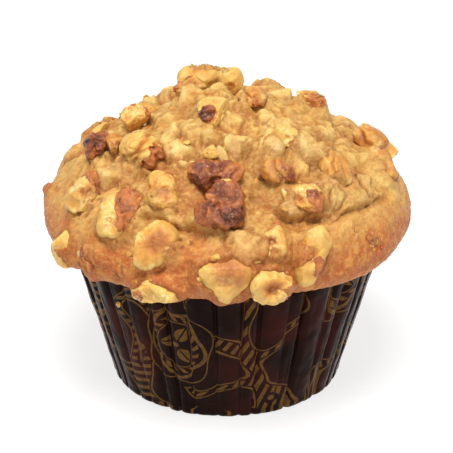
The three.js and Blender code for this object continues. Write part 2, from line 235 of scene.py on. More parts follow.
def cube_sphere(cells):
    """Directions and quads of a sphere made from a cube of cells by cells squares on each side.

    A cube's coordinate c from -1 to 1 becomes tan(c pi / 4), which keeps the squares even.
    """
    step = np.arange(cells + 1)
    first, second = np.meshgrid(step, step, indexing="ij")
    sides = []
    for axis in range(3):
        for end in (0, cells):
            side = np.empty((cells + 1, cells + 1, 3), int)
            side[..., axis] = end
            side[..., (axis + 1) % 3] = first
            side[..., (axis + 2) % 3] = second
            sides.append(side if end else side[:, ::-1])
    lattice, number = np.unique(np.reshape(sides, (-1, 3)), axis=0, return_inverse=True)
    number = number.reshape(6, cells + 1, cells + 1)
    quads = np.stack(
        [number[:, :-1, :-1], number[:, 1:, :-1], number[:, 1:, 1:], number[:, :-1, 1:]], -1
    )
    return unit(np.tan((2 * lattice / cells - 1) * np.pi / 4)), quads.reshape(-1, 4)


SPOKES, SPOKE_QUADS = cube_sphere(32)
print("a kernel will have", len(SPOKES), "points and", 2 * len(SPOKE_QUADS), "triangles")

# %% [markdown]
# ## The walnut kernels, read from the solids
#
# A broken walnut kernel is a lobed nut meat with a thin brown skin, snapped so that pale flesh shows.
# Each one could be sculpted by hand; here each solid kernel gives the form. From its middle a ray
# goes out along every direction of the sphere to where it leaves the solid, and the distances, once
# their facets are evened out, are a surface of two parameters that finer relief can be added to.

# %% Measure the solid kernels
def triangles_of(node):
    """A solid's triangles in mm, as an array of triangle, corner, coordinate."""
    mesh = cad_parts[node].data
    places = np.empty(len(mesh.vertices) * 3)
    mesh.vertices.foreach_get("co", places)
    corners = np.empty(len(mesh.loops), int)
    mesh.loops.foreach_get("vertex_index", corners)
    return (places.reshape(-1, 3) / MM)[corners].reshape(-1, 3, 3)


def reach(directions, triangles):
    """Distance from the origin to the outermost triangle that each direction passes through.

    The plane of a triangle is met at (corner . normal) / (direction . normal), and the place counts
    where it lies on the inner side of all three edges.
    """
    start = triangles
    edge = np.roll(start, -1, axis=1) - start
    normal = np.cross(edge[:, 0], edge[:, 1])
    facing = directions @ normal.T
    distance = (start[:, 0] * normal).sum(-1) / np.where(np.abs(facing) < 1e-9, 1e-9, facing)
    place = directions[:, None] * distance[..., None]
    within = distance > 0
    for side in range(3):
        leftward = np.cross(edge[:, side], place - start[:, side])
        within &= (leftward * normal).sum(-1) > -1e-6 * (normal**2).sum(-1)
    return np.where(within, distance, 0).max(-1)


FACET_BLUR = 0.17  # radians over which the facets of a solid are evened out
EVEN = np.exp(((SPOKES @ SPOKES.T).astype(np.float32) - 1) / FACET_BLUR**2)
EVEN /= EVEN.sum(-1, keepdims=True)

kernel_names = sorted(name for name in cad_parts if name.startswith("walnut"))
kernel_middles = {}
kernel_reaches = {}
for name in kernel_names:
    triangles = triangles_of(name)
    middle = (triangles.min((0, 1)) + triangles.max((0, 1))) / 2
    outline = reach(SPOKES, triangles - middle)
    kernel_middles[name] = middle
    kernel_reaches[name] = EVEN @ np.where(outline > 0, outline, outline.mean())
print("kernels measured:", len(kernel_names), "mean radius mm",
      round(float(np.mean([r.mean() for r in kernel_reaches.values()])), 2))

# %% [markdown]
# ## How each kernel broke
#
# What makes walnuts look real is that no two broke alike: one keeps its whole brown skin, one is
# split to a pale oval with a rim of skin, one curls. So each kernel that faces the front has a row
# of its own: where its skin lies and where it is hollow, as caps on its surface, each placed by how
# far right and up it is on the side that faces the front and how wide it spreads. Tones say how dark
# the skin is and how toasted the flesh. A row for each was chosen over one rule for all, because a
# rule makes them look alike; the kernels at the back, less looked at, get theirs from fixed draws.

# %% Where a cap lies
FRONT_TILT = math.radians(24.5)  # the front is looked at from a little above
RIGHTWARD = np.array([1.0, 0.0, 0.0])
UPWARD = np.array([0.0, math.sin(FRONT_TILT), math.cos(FRONT_TILT)])
TOWARDS = np.array([0.0, -math.cos(FRONT_TILT), math.sin(FRONT_TILT)])


def heading(look, right, up):
    """Direction from a kernel's middle to a place right and up on its front, in half widths.

    On the kernels at the back it is turned to the side that faces the back.
    """
    front = math.sqrt(max(0.0, 1 - right * right - up * up))
    toward = unit(right * RIGHTWARD + up * UPWARD + front * TOWARDS)
    return toward * (1, -1 if look["back"] else 1, 1)


def angle_to(directions, axis):
    """Angle in radians between each direction and an axis."""
    return np.arccos(np.clip(directions @ axis, -1, 1))


def inside_caps(look, part, directions):
    """How far in radians each direction lies inside a look's caps of one part, or -9 with no cap."""
    inside = np.full(len(directions), -9.0)
    for right, up, spread in look[part]:
        off = angle_to(directions, heading(look, right, up))
        inside = np.maximum(inside, math.radians(spread) - off)
    return inside


print("the middle of a front kernel faces", np.round(heading({"back": False}, 0, 0), 2))

# %% The looks of the kernels
# Caps are right, up and spread in degrees: skin, deep (darker skin) and cover (batter lies over it).
# A hollow adds its depth in mm, and toast, a cap of tan flesh, its amount. A cleft between two lobes
# is right, up, depth in mm and width. flesh runs from 0 pale cream to 1 toasted tan, and hide from
# 0 amber to 1 purple brown. lobes, chips and rough are how strongly it is lobed, chipped, crumbled.
LOOKS = {
    1: dict(
        cover=[(0.7, -0.6, 56), (-0.1, -0.98, 40)], cleft=[(0.9, 0.1, 0.5, 0.25)],
        skin=[(-0.8, -0.6, 18)], hollow=[(0.1, 0.6, 34, 0.6)], flesh=0.15, hide=0.3, lobes=0.6, chips=0.4,
    ),
    2: dict(
        skin=[(-0.97, 0.1, 20), (-0.2, 0.97, 20)], hollow=[(0.1, 0, 40, 0.6)], flesh=0.4, hide=0.5,
        lobes=0.6,
    ),
    3: dict(
        cover=[(-0.8, -0.4, 62)], hollow=[(-0.1, -0.6, 26, 0.7)], toast=[(-0.2, -0.7, 40, 0.4)],
        flesh=0.1, lobes=0.6, chips=0.3,
    ),
    4: dict(
        cleft=[(0.7, 0.7, 1.1, 0.25)], skin=[(0.3, -0.4, 18)], hollow=[(0.5, 0.1, 24, 0.7)],
        flesh=0.5, hide=-0.2, chips=0.9, lobes=1.4, cover=[(-0.9, 0, 50)],
    ),
    5: dict(
        deep=[(-0.75, -0.15, 50)], skin=[(-0.78, -0.15, 38), (-0.45, 0.35, 24)],
        hollow=[(-0.15, -0.2, 24, 1.3)], toast=[(-0.1, -0.2, 44, 0.5)], flesh=0.1, hide=0.5, lobes=0.8,
        chips=1.7,
    ),
    6: dict(
        cleft=[(0.6, -0.6, 1.0, 0.2)], skin=[(0.75, 0.4, 44)], hollow=[(-0.1, -0.3, 30, 0.9)],
        toast=[(0.3, 0, 70, 0.25)], flesh=0.35, hide=-0.1,
    ),
    7: dict(flesh=-0.2, chips=1.6, lobes=0.5, rough=1.6),
    8: dict(
        skin=[(0.9, 0.35, 30), (-0.2, 0.97, 20)], flesh=0.35, hide=0.1, lobes=0.6, cover=[(-0.9, 0, 40)],
    ),
    9: dict(
        cleft=[(0.9, 0.3, 0.9, 0.18)], skin=[(-0.2, 0, 105)], deep=[(-0.5, 0.3, 50)], flesh=0.5, hide=0.5,
        lobes=1.2,
    ),
    10: dict(skin=[(0.75, -0.2, 30)], flesh=0.55, hide=0.2),
    11: dict(
        skin=[(0.72, -0.5, 40)], cleft=[(0.95, -0.3, 1.5, 0.2), (-0.3, 0.95, 0.9, 0.15)],
        toast=[(0.5, 0.4, 50, 0.35)], flesh=0.05, hide=0.2, lobes=2.2, chips=0.6, cover=[(0.5, 0.85, 40)],
    ),
    12: dict(
        skin=[(0.8, 0.5, 32), (0.35, 0.92, 22)], hollow=[(0.1, 0.1, 30, 0.9)],
        toast=[(0.5, 0, 50, 0.25)], flesh=0.15, hide=0.35, lobes=1.2, rough=1.2,
    ),
    13: dict(
        skin=[(0.38, 0.45, 60), (0.5, -0.2, 50)], hollow=[(-0.5, -0.4, 24, 0.8)], flesh=0.15, hide=0.05,
        chips=0.8, lobes=0.6, rough=1.4, cover=[(-0.7, 0.6, 46)],
    ),
    14: dict(
        rough=0.3, chips=0.6, hollow=[(0.1, -0.35, 28, 0.5)], cleft=[(0.2, 0.97, 0.45, 0.28)],
        toast=[(0.1, -0.2, 44, 0.3)], flesh=0.28, lobes=1.3, cover=[(-0.6, -0.75, 30)],
    ),
    15: dict(skin=[(0, 0, 100)], flesh=0.6, hide=0.1),
    16: dict(flesh=0.05, hide=0.1, chips=1.4),
    17: dict(
        skin=[(0, 0, 125)], hollow=[(0.1, 0.6, 40, 1.9), (0.1, -0.7, 30, 1.5)], flesh=0.5, hide=0.5,
        lobes=0.8,
    ),
    18: dict(
        skin=[(0.1, 0, 92), (0.3, -0.8, 60)], deep=[(0.6, -0.55, 50)], cleft=[(0.5, 0.8, 0.8, 0.14)],
        flesh=0.2, hide=0.45,
    ),
    19: dict(
        cleft=[(0.7, 0.5, 0.9, 0.16)], skin=[(0.7, -0.1, 50)], flesh=0.6, hide=0.3, lobes=1.1,
        cover=[(0, -0.98, 34)],
    ),
    20: dict(
        skin=[(0.9, 0.1, 30), (0.4, -0.9, 26)], hollow=[(-0.2, 0.1, 36, 0.7)], flesh=0.3, hide=0.15,
        chips=1.2, rough=1.0, cover=[(-0.95, 0.1, 44)],
    ),
    21: dict(
        hollow=[(0.05, 0.1, 36, 0.9)], toast=[(0.05, 0.1, 60, 0.3)], flesh=0.3, chips=0.5, lobes=0.4,
        rough=1.0,
    ),
    22: dict(
        hollow=[(0.15, 0.2, 22, 1.2)], toast=[(0.15, 0.2, 34, 0.5)], flesh=0.35, hide=0.1, lobes=0.4,
        chips=0.4, cover=[(-0.92, 0.1, 44), (0.3, -0.95, 30)],
    ),
    23: dict(
        skin=[(0.5, -0.4, 30)], hollow=[(0.0, 0.4, 24, 0.8)], toast=[(-0.6, 0.3, 60, 0.3)], flesh=0.15,
        hide=0.3, chips=1.0, lobes=0.6, rough=1.0, cover=[(-0.95, 0.3, 32)],
    ),
    24: dict(
        skin=[(0.5, 0.2, 12)], flesh=0.4, hide=0.05, lobes=0.5, chips=0.7, cleft=[(0.95, 0.2, 0.7, 0.14)],
        cover=[(-0.6, 0.75, 42), (0.95, 0.1, 24), (-0.2, -0.95, 30)],
    ),
    25: dict(
        cleft=[(0.7, 0.6, 0.7, 0.2)], skin=[(0.9, -0.3, 10)], cover=[(-0.8, -0.5, 44)], flesh=0.55,
        hide=0.1, lobes=0.8, chips=0.4,
    ),
    26: dict(
        skin=[(0.9, -0.6, 14)], flesh=0.5, hide=0.2, lobes=0.7, chips=0.5, hollow=[(0.1, 0, 30, 0.7)],
        cover=[(-0.8, -0.3, 40)],
    ),
    27: dict(skin=[(0.9, -0.4, 14)], flesh=0.3, hide=0.2),
    28: dict(skin=[(0.9, 0.5, 16)], flesh=0.15, hide=0.2, lobes=0.8, cover=[(0.9, -0.2, 54)]),
    29: dict(
        skin=[(0, 0, 70)], flesh=0.4, hide=0.25, lobes=0.9,
        cover=[(-0.3, -0.9, 50), (-0.9, 0.3, 44), (0.3, 0.9, 30)],
    ),
    30: dict(skin=[(-0.95, -0.2, 14)], flesh=0.05, hide=0.2, chips=1.5, lobes=0.6, rough=1.6),
    31: dict(toast=[(0.3, 0.5, 74, 0.6)], flesh=0.15, chips=0.7, lobes=0.6, rough=0.25),
    32: dict(
        skin=[(0.93, -0.3, 22)], hollow=[(0.1, -0.3, 30, 1.8)],
        toast=[(0.1, -0.3, 48, 0.5), (0.8, 0.1, 50, 0.35)], flesh=0.05, hide=0.0, ribs=1, lobes=0.6,
    ),
}
print("front kernels with a row of their own:", len(LOOKS))


# %% The looks at the back
def back_look(number):
    """A look for a kernel at the back, from its fixed draws."""
    side, height, spread, pit, flesh, hide, lobes, chips = draw(number, np.arange(8) + 20)
    hollow = [(-0.5 * side, -0.4 * height, 28, 1.0 + 0.6 * pit)] if pit > -0.3 else []
    return dict(
        skin=[(side, height, 55 + 40 * spread)],
        hollow=hollow,
        cover=[(-side, -0.5, 40)],
        cleft=[(spread, side, 1.0 + 0.4 * pit, 0.18)] if abs(spread * side) < 0.4 else [],
        flesh=0.3 + 0.25 * flesh,
        hide=0.45 + 0.35 * hide,
        lobes=1 + 0.4 * lobes,
        chips=1 + 0.5 * chips,
        rough=1 + pit,
        back=True,
    )


def look_of(name):
    """A kernel's own row, with the plain values where it has none."""
    number = int(name[-2:])
    plain = dict(
        skin=[], deep=[], cleft=[], hollow=[], toast=[], cover=[], flesh=0.3, hide=0.4, lobes=1.0,
        chips=1.0, rough=0.7, ribs=0, back=False,
    )
    return {**plain, **LOOKS.get(number, back_look(number))}


print("flesh of the last kernel at the back:", round(float(look_of(kernel_names[-1])["flesh"]), 2))

# %% [markdown]
# ## The kernels' relief
#
# The relief runs from coarse to fine, as it forms on the real nut: the lobes it grew with, the flat
# faces where it snapped, the hollow where its other half lay, and the skin, which is a thin layer
# that stands proud of the flesh with a torn edge. The edge is kept as a field, positive on the skin,
# so that the material can draw it sharper than the mesh is fine.

# %% The flat faces of a break
CHIP_FACES = 9
CHIP_DEPTH = 0.95
CHIP_TILT = 0.35
LEAST_FACING = 0.15  # a chip face cuts only the spokes that lean this much towards it


def chip_reach(radius, chips, seed):
    """Reach in mm at which flat faces would cut each spoke of a kernel with this reach.

    Nine directions are spread evenly and tilted by fixed draws. Each face stands at the farthest that
    the kernel reaches along its direction, less a depth, and it meets a spoke at that distance over
    the cosine between the two.
    """
    i = np.arange(CHIP_FACES)
    level = 1 - 2 * (i + 0.5) / CHIP_FACES
    turn = i * GOLDEN_TURN + seed
    flat = np.sqrt(1 - level**2)
    faces = np.stack([flat * np.cos(turn), flat * np.sin(turn), level], 1)
    tilt = np.stack([draw(seed, i + CHIP_FACES * n) for n in range(3)], 1)
    facing = SPOKES @ unit(faces + CHIP_TILT * tilt).T
    farthest = (radius[:, None] * facing).max(0)
    cut = farthest - CHIP_DEPTH * chips * (0.7 + 0.6 * draw(seed, i + 30))
    reaches = cut / np.maximum(facing, LEAST_FACING)
    return np.where(facing > LEAST_FACING, reaches, 99).min(-1)


ball = np.full(len(SPOKES), 4.0)
chipped_ball = np.minimum(ball, chip_reach(ball, 1, 1))
print("a ball of 4 mm is chipped to a mean of", round(float(chipped_ball.mean()), 2))

# %% Shape a kernel
SWELL_SPACING = 6.0
SWELL_HEIGHT = 0.7
BEND_SPACING = 4.0
BEND = 0.9  # mm by which the lobes' pattern is bent
LOBE_SPACING = 4.8
LOBE_HEIGHT = 1.2
LOBE_SOFT = 0.06
LOBE_LEVEL = 0.42  # distance from its seat, in spacings, at which a lobe adds nothing
FLESH_LOBES = 0.22  # share of the lobes that is left where the flesh shows
FOLD_SPACING = 4.2
FOLD_DEPTH = 0.6
FOLD_WIDTH = 0.13
WRINKLE_SPACING = 2.2
WRINKLE_HEIGHT = 0.35
SKIN_PROUD = 0.2
TORN_EDGE = 0.25  # radians by which the skin's edge wanders
TEAR_SPACING = 3.2
FRAY_SPACING = 1.3
LEDGE = 0.2  # height of the small steps in broken flesh
LEDGE_SPACING = 3.4
CRUMBLE = 0.26
CRUMBLE_SPACING = 1.7
RIBS = 11
RIB_HEIGHT = 0.12
PIMPLE_SPACING = 1.2
PIMPLE_HEIGHT = 0.09
LEAST_REACH = 0.45  # share of the mean reach that every spoke keeps


def kernel_surface(name):
    """A kernel's reach in mm along each spoke, with its fields.

    reach = solid's reach + soft swells + lobes - folds - clefts, cut by chip faces where flesh
    shows, + wrinkles on the skin or ledges on the flesh + crumbly bits - flat-bottomed hollows + ribs
    round them + the skin's thickness. Toast caps add tan flesh and deep caps darker skin. Flesh and
    skin are also painted darker in the hollows and paler on the ridges, which is painted shade and
    painted highlight, and the shade field is painted shade in the seams between lobes and in hollows.
    """
    look = look_of(name)
    seed = int(name[-2:])
    solid = kernel_reaches[name]
    place = SPOKES * solid[:, None]

    torn = grain(place, TEAR_SPACING, seed) + 0.5 * grain(place, FRAY_SPACING, seed + 60)
    edge = inside_caps(look, "skin", SPOKES) + TORN_EDGE * torn
    skin = smooth(edge, -0.05, 0.05)

    bent = place + BEND * grain_vector(place, BEND_SPACING, seed + 9)
    nearest, apart = pebbles(bent, LOBE_SPACING, seed, soft=LOBE_SOFT)
    lobed = look["lobes"] * mix(FLESH_LOBES, 1, skin)
    fold = bell(grain(bent, FOLD_SPACING, seed + 70), FOLD_WIDTH)
    swell = SWELL_HEIGHT * grain(place, SWELL_SPACING, seed + 2)
    radius = solid + swell + LOBE_HEIGHT * lobed * (LOBE_LEVEL - nearest)
    radius = radius - FOLD_DEPTH * lobed * fold
    seam = lobed * np.maximum(1 - smooth(apart, 0, 0.25), fold)

    for right, up, depth, width in look["cleft"]:
        lean = SPOKES @ heading(look, right, up) + 0.22 * grain(place, 5, seed + 50)
        cleft = bell(lean, width) * (1 - look["ribs"])
        radius = radius - depth * cleft
        seam = np.maximum(seam, 0.6 * cleft)

    chipped = chip_reach(radius, look["chips"], seed)
    radius = np.minimum(radius, chipped + 0.6 * skin)

    ledges = LEDGE * look["chips"] * smooth(grain(place, LEDGE_SPACING, seed + 5), 0.02, 0.14)
    wrinkles = WRINKLE_HEIGHT * (1 - 2.2 * np.abs(grain(bent, WRINKLE_SPACING, seed + 3)))
    crumbly = look["rough"] * smooth(grain(place, 5, seed + 30), -0.1, 0.3) * (1 - skin)
    crumble = CRUMBLE * crumbly * smooth(grain(place, CRUMBLE_SPACING, seed + 31), -0.1, 0.25)
    radius = radius + mix(ledges, wrinkles * look["lobes"], skin) + crumble

    pit = np.zeros(len(SPOKES))
    for right, up, spread, depth in look["hollow"]:
        axis = heading(look, right, up)
        away = angle_to(SPOKES, axis)
        jagged = math.radians(spread) * (1 + 0.22 * grain(place, 2.2, seed + 12))
        dip = np.exp(-((away / jagged) ** 4))
        radius = radius - depth * dip
        pit = np.maximum(pit, dip * min(1, depth))
        if look["ribs"]:
            east = unit(np.cross(axis, UPWARD))
            around = np.arctan2(SPOKES @ np.cross(axis, east), SPOKES @ east)
            rib = RIB_HEIGHT * np.cos(RIBS * around) * smooth(away, 0.3, 0.8)
            radius = radius + rib * (1 - skin)
    radius = radius + SKIN_PROUD * skin + PIMPLE_HEIGHT * grain(place, PIMPLE_SPACING, seed + 7)
    radius = np.maximum(radius, LEAST_REACH * solid.mean())
    proud = radius - EVEN @ radius

    toast = np.zeros(len(SPOKES))
    for right, up, spread, amount in look["toast"]:
        away = angle_to(SPOKES, heading(look, right, up)) / math.radians(spread)
        toast = np.maximum(toast, amount * (1 - smooth(away, 0.4, 1)))
    deep = np.zeros(len(SPOKES))
    for right, up, spread in look["deep"]:
        away = angle_to(SPOKES, heading(look, right, up))
        deep = np.maximum(deep, 1 - smooth(away, 0, math.radians(spread)))
    # Painted shade and highlight: pit darkens the flesh in hollows, proud makes flesh and skin paler on
    # ridges and darker in dips, and shade darkens the lobes' seams and hollows.
    fields = {
        "skin": edge,
        "flesh": np.clip(look["flesh"] + toast + 0.2 * pit - 0.7 * proud - 0.2 * crumbly, 0, 1),
        "hide": np.clip(look["hide"] + 0.6 * deep + 0.5 * grain(place, 3.6, seed + 13) - 0.6 * proud, 0, 1),
        "rough": np.clip(crumbly, 0, 1),
        "shade": np.clip(0.55 * seam + 0.2 * pit * (1 - skin), 0, 1),
    }
    return radius, fields


kernels = {}
for name in kernel_names:
    radius, fields = kernel_surface(name)
    points = kernel_middles[name] + SPOKES * radius[:, None]
    piece = make_piece(name.replace("walnut", "kernel"), points, [SPOKE_QUADS], fields)
    kernels[name] = dict(middle=kernel_middles[name], radius=radius, piece=piece)
print("kernels made:", len(kernels), "longest reach mm",
      round(float(max(k["radius"].max() for k in kernels.values())), 1))

# %% [markdown]
# ## The cake
#
# The batter rose, spread over the cup's edge and set: a peaked dome with a fat smooth roll at its rim,
# and above the roll a lumpy, torn surface where nuts lie just under the crust. The dome is a surface
# of azimuth and latitude, as a globe is. To keep its cells even up to the peak, a square grid is
# mapped to a disc and the disc to the dome. The broad form is worked out as the solid's is, and the
# fine relief is added on top: clumps, creases, pores, and batter drawn up against every kernel.

# %% The dome's plain shape
CROWN_RADIUS = 45.5
CROWN_HEIGHT = 43.5  # height of the widest line
PEAK = 74.0
CROWN_POINT = 1.58  # 2 would be a round dome, less is more peaked
CUP_HEIGHT = 38.0
NECK_RADIUS = 37.1  # where the cake leaves the cup
NECK_HEIGHT = CUP_HEIGHT + 0.35
FOOT_RADIUS = 27.0
FOOT_HEIGHT = 0.85


def dome(azimuth, latitude):
    """Places on the plain dome, for degrees round from +X and up from the widest line.

    Above: radius = widest * cos ** (2 / point), height rises as the sine. Below: both run to the neck.
    """
    c = np.cos(np.radians(latitude))
    s = np.sin(np.radians(latitude))
    above = latitude >= 0
    radius = np.where(
        above,
        CROWN_RADIUS * np.maximum(c, 0) ** (2 / CROWN_POINT),
        mix(NECK_RADIUS, CROWN_RADIUS, c),
    )
    height = np.where(above, mix(CROWN_HEIGHT, PEAK, s), mix(CROWN_HEIGHT, NECK_HEIGHT, -s))
    a = np.radians(azimuth)
    return np.stack([radius * np.cos(a), radius * np.sin(a), height], -1)


def outward(azimuth, latitude):
    """Directions out of the dome: east crossed with the way up it."""
    a = np.radians(azimuth)
    east = np.stack([-np.sin(a), np.cos(a), 0 * a], -1)
    upward = dome(azimuth, latitude + 0.1) - dome(azimuth, latitude - 0.1)
    return unit(np.cross(east, upward))


print("plain dome at the front:", np.round(dome(-90, 0), 1))

# %% The dome's broad relief
CREASES = [
    ([(-80, 38), (-68, 27), (-52, 24), (-36, 22), (-24, 20)], 1.3, 1.0),
    ([(-84, 57), (-72, 50), (-72, 41)], 1.6, 1.8),
    ([(-44, 47), (-50, 38), (-40, 33)], 1.2, 1.3),
    ([(-118, 26), (-98, 22), (-84, 26)], 1.1, 1.6),
    ([(-150, 38), (-132, 40), (-118, 46)], 0.9, 1.5),
    ([(30, 40), (52, 30), (80, 29)], 1.4, 1.6),
    ([(100, 30), (122, 25), (150, 20)], 1.3, 1.6),
]  # places, depth, width
LUMPS = [
    (-30, 58, 2.2, 9), (-46, 55, 1.5, 6), (-83, 19, 2.6, 4.5), (-38, 9, 1.2, 14),
    (-12, 16, 0.9, 12), (-88, 60, 1.1, 4), (-120, 58, 1.1, 5), (-60, 74, 1, 5),
    (-104, 8, 0.8, 9), (-140, 12, 0.8, 9), (70, 55, 1.6, 8), (110, 46, 1.3, 7),
    (35, 12, 1, 12), (90, 6, 0.9, 12), (174, 38, -2.6, 13), (150, 50, -2.2, 11),
    (20, 44, -1.8, 9), (75, 66, -0.8, 9), (98, 62, 3.6, 4.2), (157, 34, -1.8, 7),
    (64, 57, -1.7, 5), (126, 51, -1.3, 5), (32, 41, -1.3, 5), (-99, 13.5, 0.9, 3.4),
    (-49, 58.5, -1.3, 4),
]  # azimuth, latitude, height, radius; a negative height flattens a shoulder
SWELLS = (30, 0.7)  # spacing and height of the whole crown's unevenness
SCOOPS = (10, 0.75)  # and of the scooped lumps above the roll


def distance_to_line(p, corners):
    """Distance from points to a broken line: the least over its stretches."""
    best = np.full(len(p), 1e9)
    for start, end in zip(corners[:-1], corners[1:]):
        along = np.clip(((p - start) @ (end - start)) / ((end - start) @ (end - start)), 0, 1)
        best = np.minimum(best, away_from(p - start, along[:, None] * (end - start)))
    return best


def broad_relief(latitude, p):
    """Height in mm over the plain dome and how deep in a crease each point is.

    swell + scoops above the rim + lumps - creases, all fading out under the crown.
    """
    height = SWELLS[1] * waves(p, SWELLS[0], 1)
    height = height + smooth(latitude, 5, 38) * SCOOPS[1] * waves(p, SCOOPS[0], 2)
    for azimuth, lump_latitude, rise, radius in LUMPS:
        height = height + rise * bell(away_from(p, dome(azimuth, lump_latitude)), radius)
    folded = np.zeros(len(p))
    for places, depth, width in CREASES:
        corners = dome(*np.array(places, float).T)
        groove = bell(distance_to_line(p, corners), width)
        height = height - depth * groove
        folded = np.maximum(folded, groove)
    return height * (1 - smooth(latitude, -25, -80)), folded


# %% [markdown]
# The fine relief has two parts of the crown in mind. High up the batter is clumped like wet gravel,
# and three sizes of pebbles give that: clumps of eight millimetres, clots of four and crumbs of under
# two, except at one calm place where it flowed smooth. Here and there it covers a nut, whose flat top
# stands in a narrow groove. The roll at the rim rose smoothly and only has a sandy grain. Short
# wrinkles are where the setting crust buckled, and pores are where bubbles broke.

# %% Covered nuts, wrinkles and pores
PORES = 420
CALM_PLACE = dome(-32, 33)  # where the batter flowed smooth over nuts
CALM_SPREAD = 15
CHUNKS = [
    (-40, 49, 1.8, 4.6, 0.7), (-58, 54, 0.7, 2.6, 0.3), (-80, 60, 1.3, 3.2, 0.7),
    (-119, 54, 1.8, 3.8, 0.3), (-133, 59, 1.1, 3.0, 0.5), (-146, 36, 1.4, 4.0, 0.2),
    (22, 52, 1.6, 4.0, 0.5), (-72, 48, 1.1, 2.6, -0.9), (-39, 69, 1.1, 2.8, 0.4),
    (-135, 74, 1.0, 3.2, -0.4), (-47, 31, 0.7, 2.4, 0.2), (-67, 31, 0.9, 2.6, 0.4),
    (-24, 52, 1.3, 3.4, 0.4), (-100, 61, 1.0, 2.4, -0.5), (-150, 52, 1.0, 3.0, -0.4),
    (-30, 30, 0.9, 3.0, 0.5), (50, 58, 1.5, 3.6, 0.6), (120, 62, 1.3, 3.2, -0.5),
    (86, 52, 1.6, 4.0, 0.5), (30, 34, 1.2, 3.4, -0.6), (130, 40, 1.4, 3.8, 0.6),
    (104, 28, 1.2, 3.2, 0.4), (164, 22, 1.2, 3.6, -0.4), (60, 30, 1.3, 3.6, 0.6),
    (-84.5, 17.5, 1.5, 4.4, 0.4), (-73, 58, 0.8, 2.0, -1.0), (-110, 48, 0.9, 2.2, 0.5),
    (-92, 55, 0.9, 2.2, 0.6),
]  # nuts that the batter covers: azimuth, latitude, height, radius, -1 brown to 1 pale
WRINKLES = [
    ([(-70, 27.5), (-62, 25.2), (-50, 24), (-38, 22.4), (-27, 21)], 1.1, 0.55),
    ([(-49, 41), (-48, 37.5), (-44, 34.5)], 1.2, 0.7),
    ([(-32, 50), (-39, 47), (-45, 43.5)], 0.8, 0.6),
    ([(-64, 29), (-55, 29), (-44, 28)], 0.6, 0.55),
    ([(-66, 22), (-60, 20.5)], 0.5, 0.5),
    ([(-111, 21.5), (-105.5, 19.5), (-100.5, 18), (-95.5, 17), (-91.5, 14.5), (-86, 12.5)], 1.2, 0.6),
    ([(-109, 25), (-103, 24), (-97, 25)], 0.5, 0.5),
    ([(-112, 31), (-104, 30.5), (-97, 29)], 0.9, 0.6),
    ([(-92, 27), (-86, 25), (-80, 26)], 0.8, 0.6),
    ([(-94, 14), (-88, 12), (-80, 11), (-74, 13)], 0.8, 0.6),
    ([(-142, 20), (-139, 24), (-139, 28)], 0.8, 0.8),
    ([(-84, 34), (-80, 37.5), (-75, 40)], 0.8, 0.7),
    ([(-82, 53), (-79, 49), (-76, 46), (-69, 47)], 1.1, 0.8),
    ([(-140, 42), (-131, 45.5), (-126, 49)], 0.7, 0.7),
    ([(-110, 7.5), (-106, 11), (-103, 16)], 0.8, 0.8),
    ([(60, 35), (75, 31), (92, 33)], 0.9, 0.7),
    ([(120, 48), (138, 44), (150, 47)], 0.9, 0.7),
    ([(8, 30), (25, 26), (38, 27)], 0.8, 0.7),
    ([(160, 30), (175, 26), (188, 29)], 0.8, 0.7),
    ([(70, 50), (95, 46), (110, 52)], 0.8, 0.7),
    ([(50, 18), (64, 14), (80, 16)], 0.6, 0.7),
]  # places, depth, width: sharp little creases between the clumps
pore_draws = np.random.default_rng(11)
pore_azimuths = pore_draws.uniform(-180, 180, PORES)
pore_latitudes = np.degrees(np.arcsin(pore_draws.uniform(-0.25, 0.97, PORES)))
pore_radii = pore_draws.uniform(0.3, 0.75, PORES)
pore_places = dome(pore_azimuths, pore_latitudes)
print("covered nuts:", len(CHUNKS), "wrinkles:", len(WRINKLES), "pores:", PORES)

# %% The dome's fine relief
CLUMP_SPACING = 8.0
CLUMP_HEIGHT = 3.4
CLOT_SPACING = 4.0
CLOT_HEIGHT = 1.4
CRUMB_SPACING = 1.7
CRUMB_HEIGHT = 0.5
RIPPLE_SPACING = 4.4
RIPPLE_HEIGHT = 0.6
SAND_HEIGHT = 0.2
ROLL_HEIGHT = 0.3  # of the roll's own soft bumps
ROLL_SPACING = 8
SEAM_DEPTH = 0.5  # of the creases between clumps
SMALL_SEAM_DEPTH = 0.2  # and between clots
PEBBLE_SOFT = 0.06
# The second value of PEBBLE_REACH is where a pebble's painted light is 0.
PEBBLE_REACH = (0.3, 0.45)  # distance from a seat at which a pebble's height, and its tone, is 0
CHUNK_EDGE = 1.14  # where the groove round a covered nut lies, in its radii
CHUNK_GROOVE = 0.45


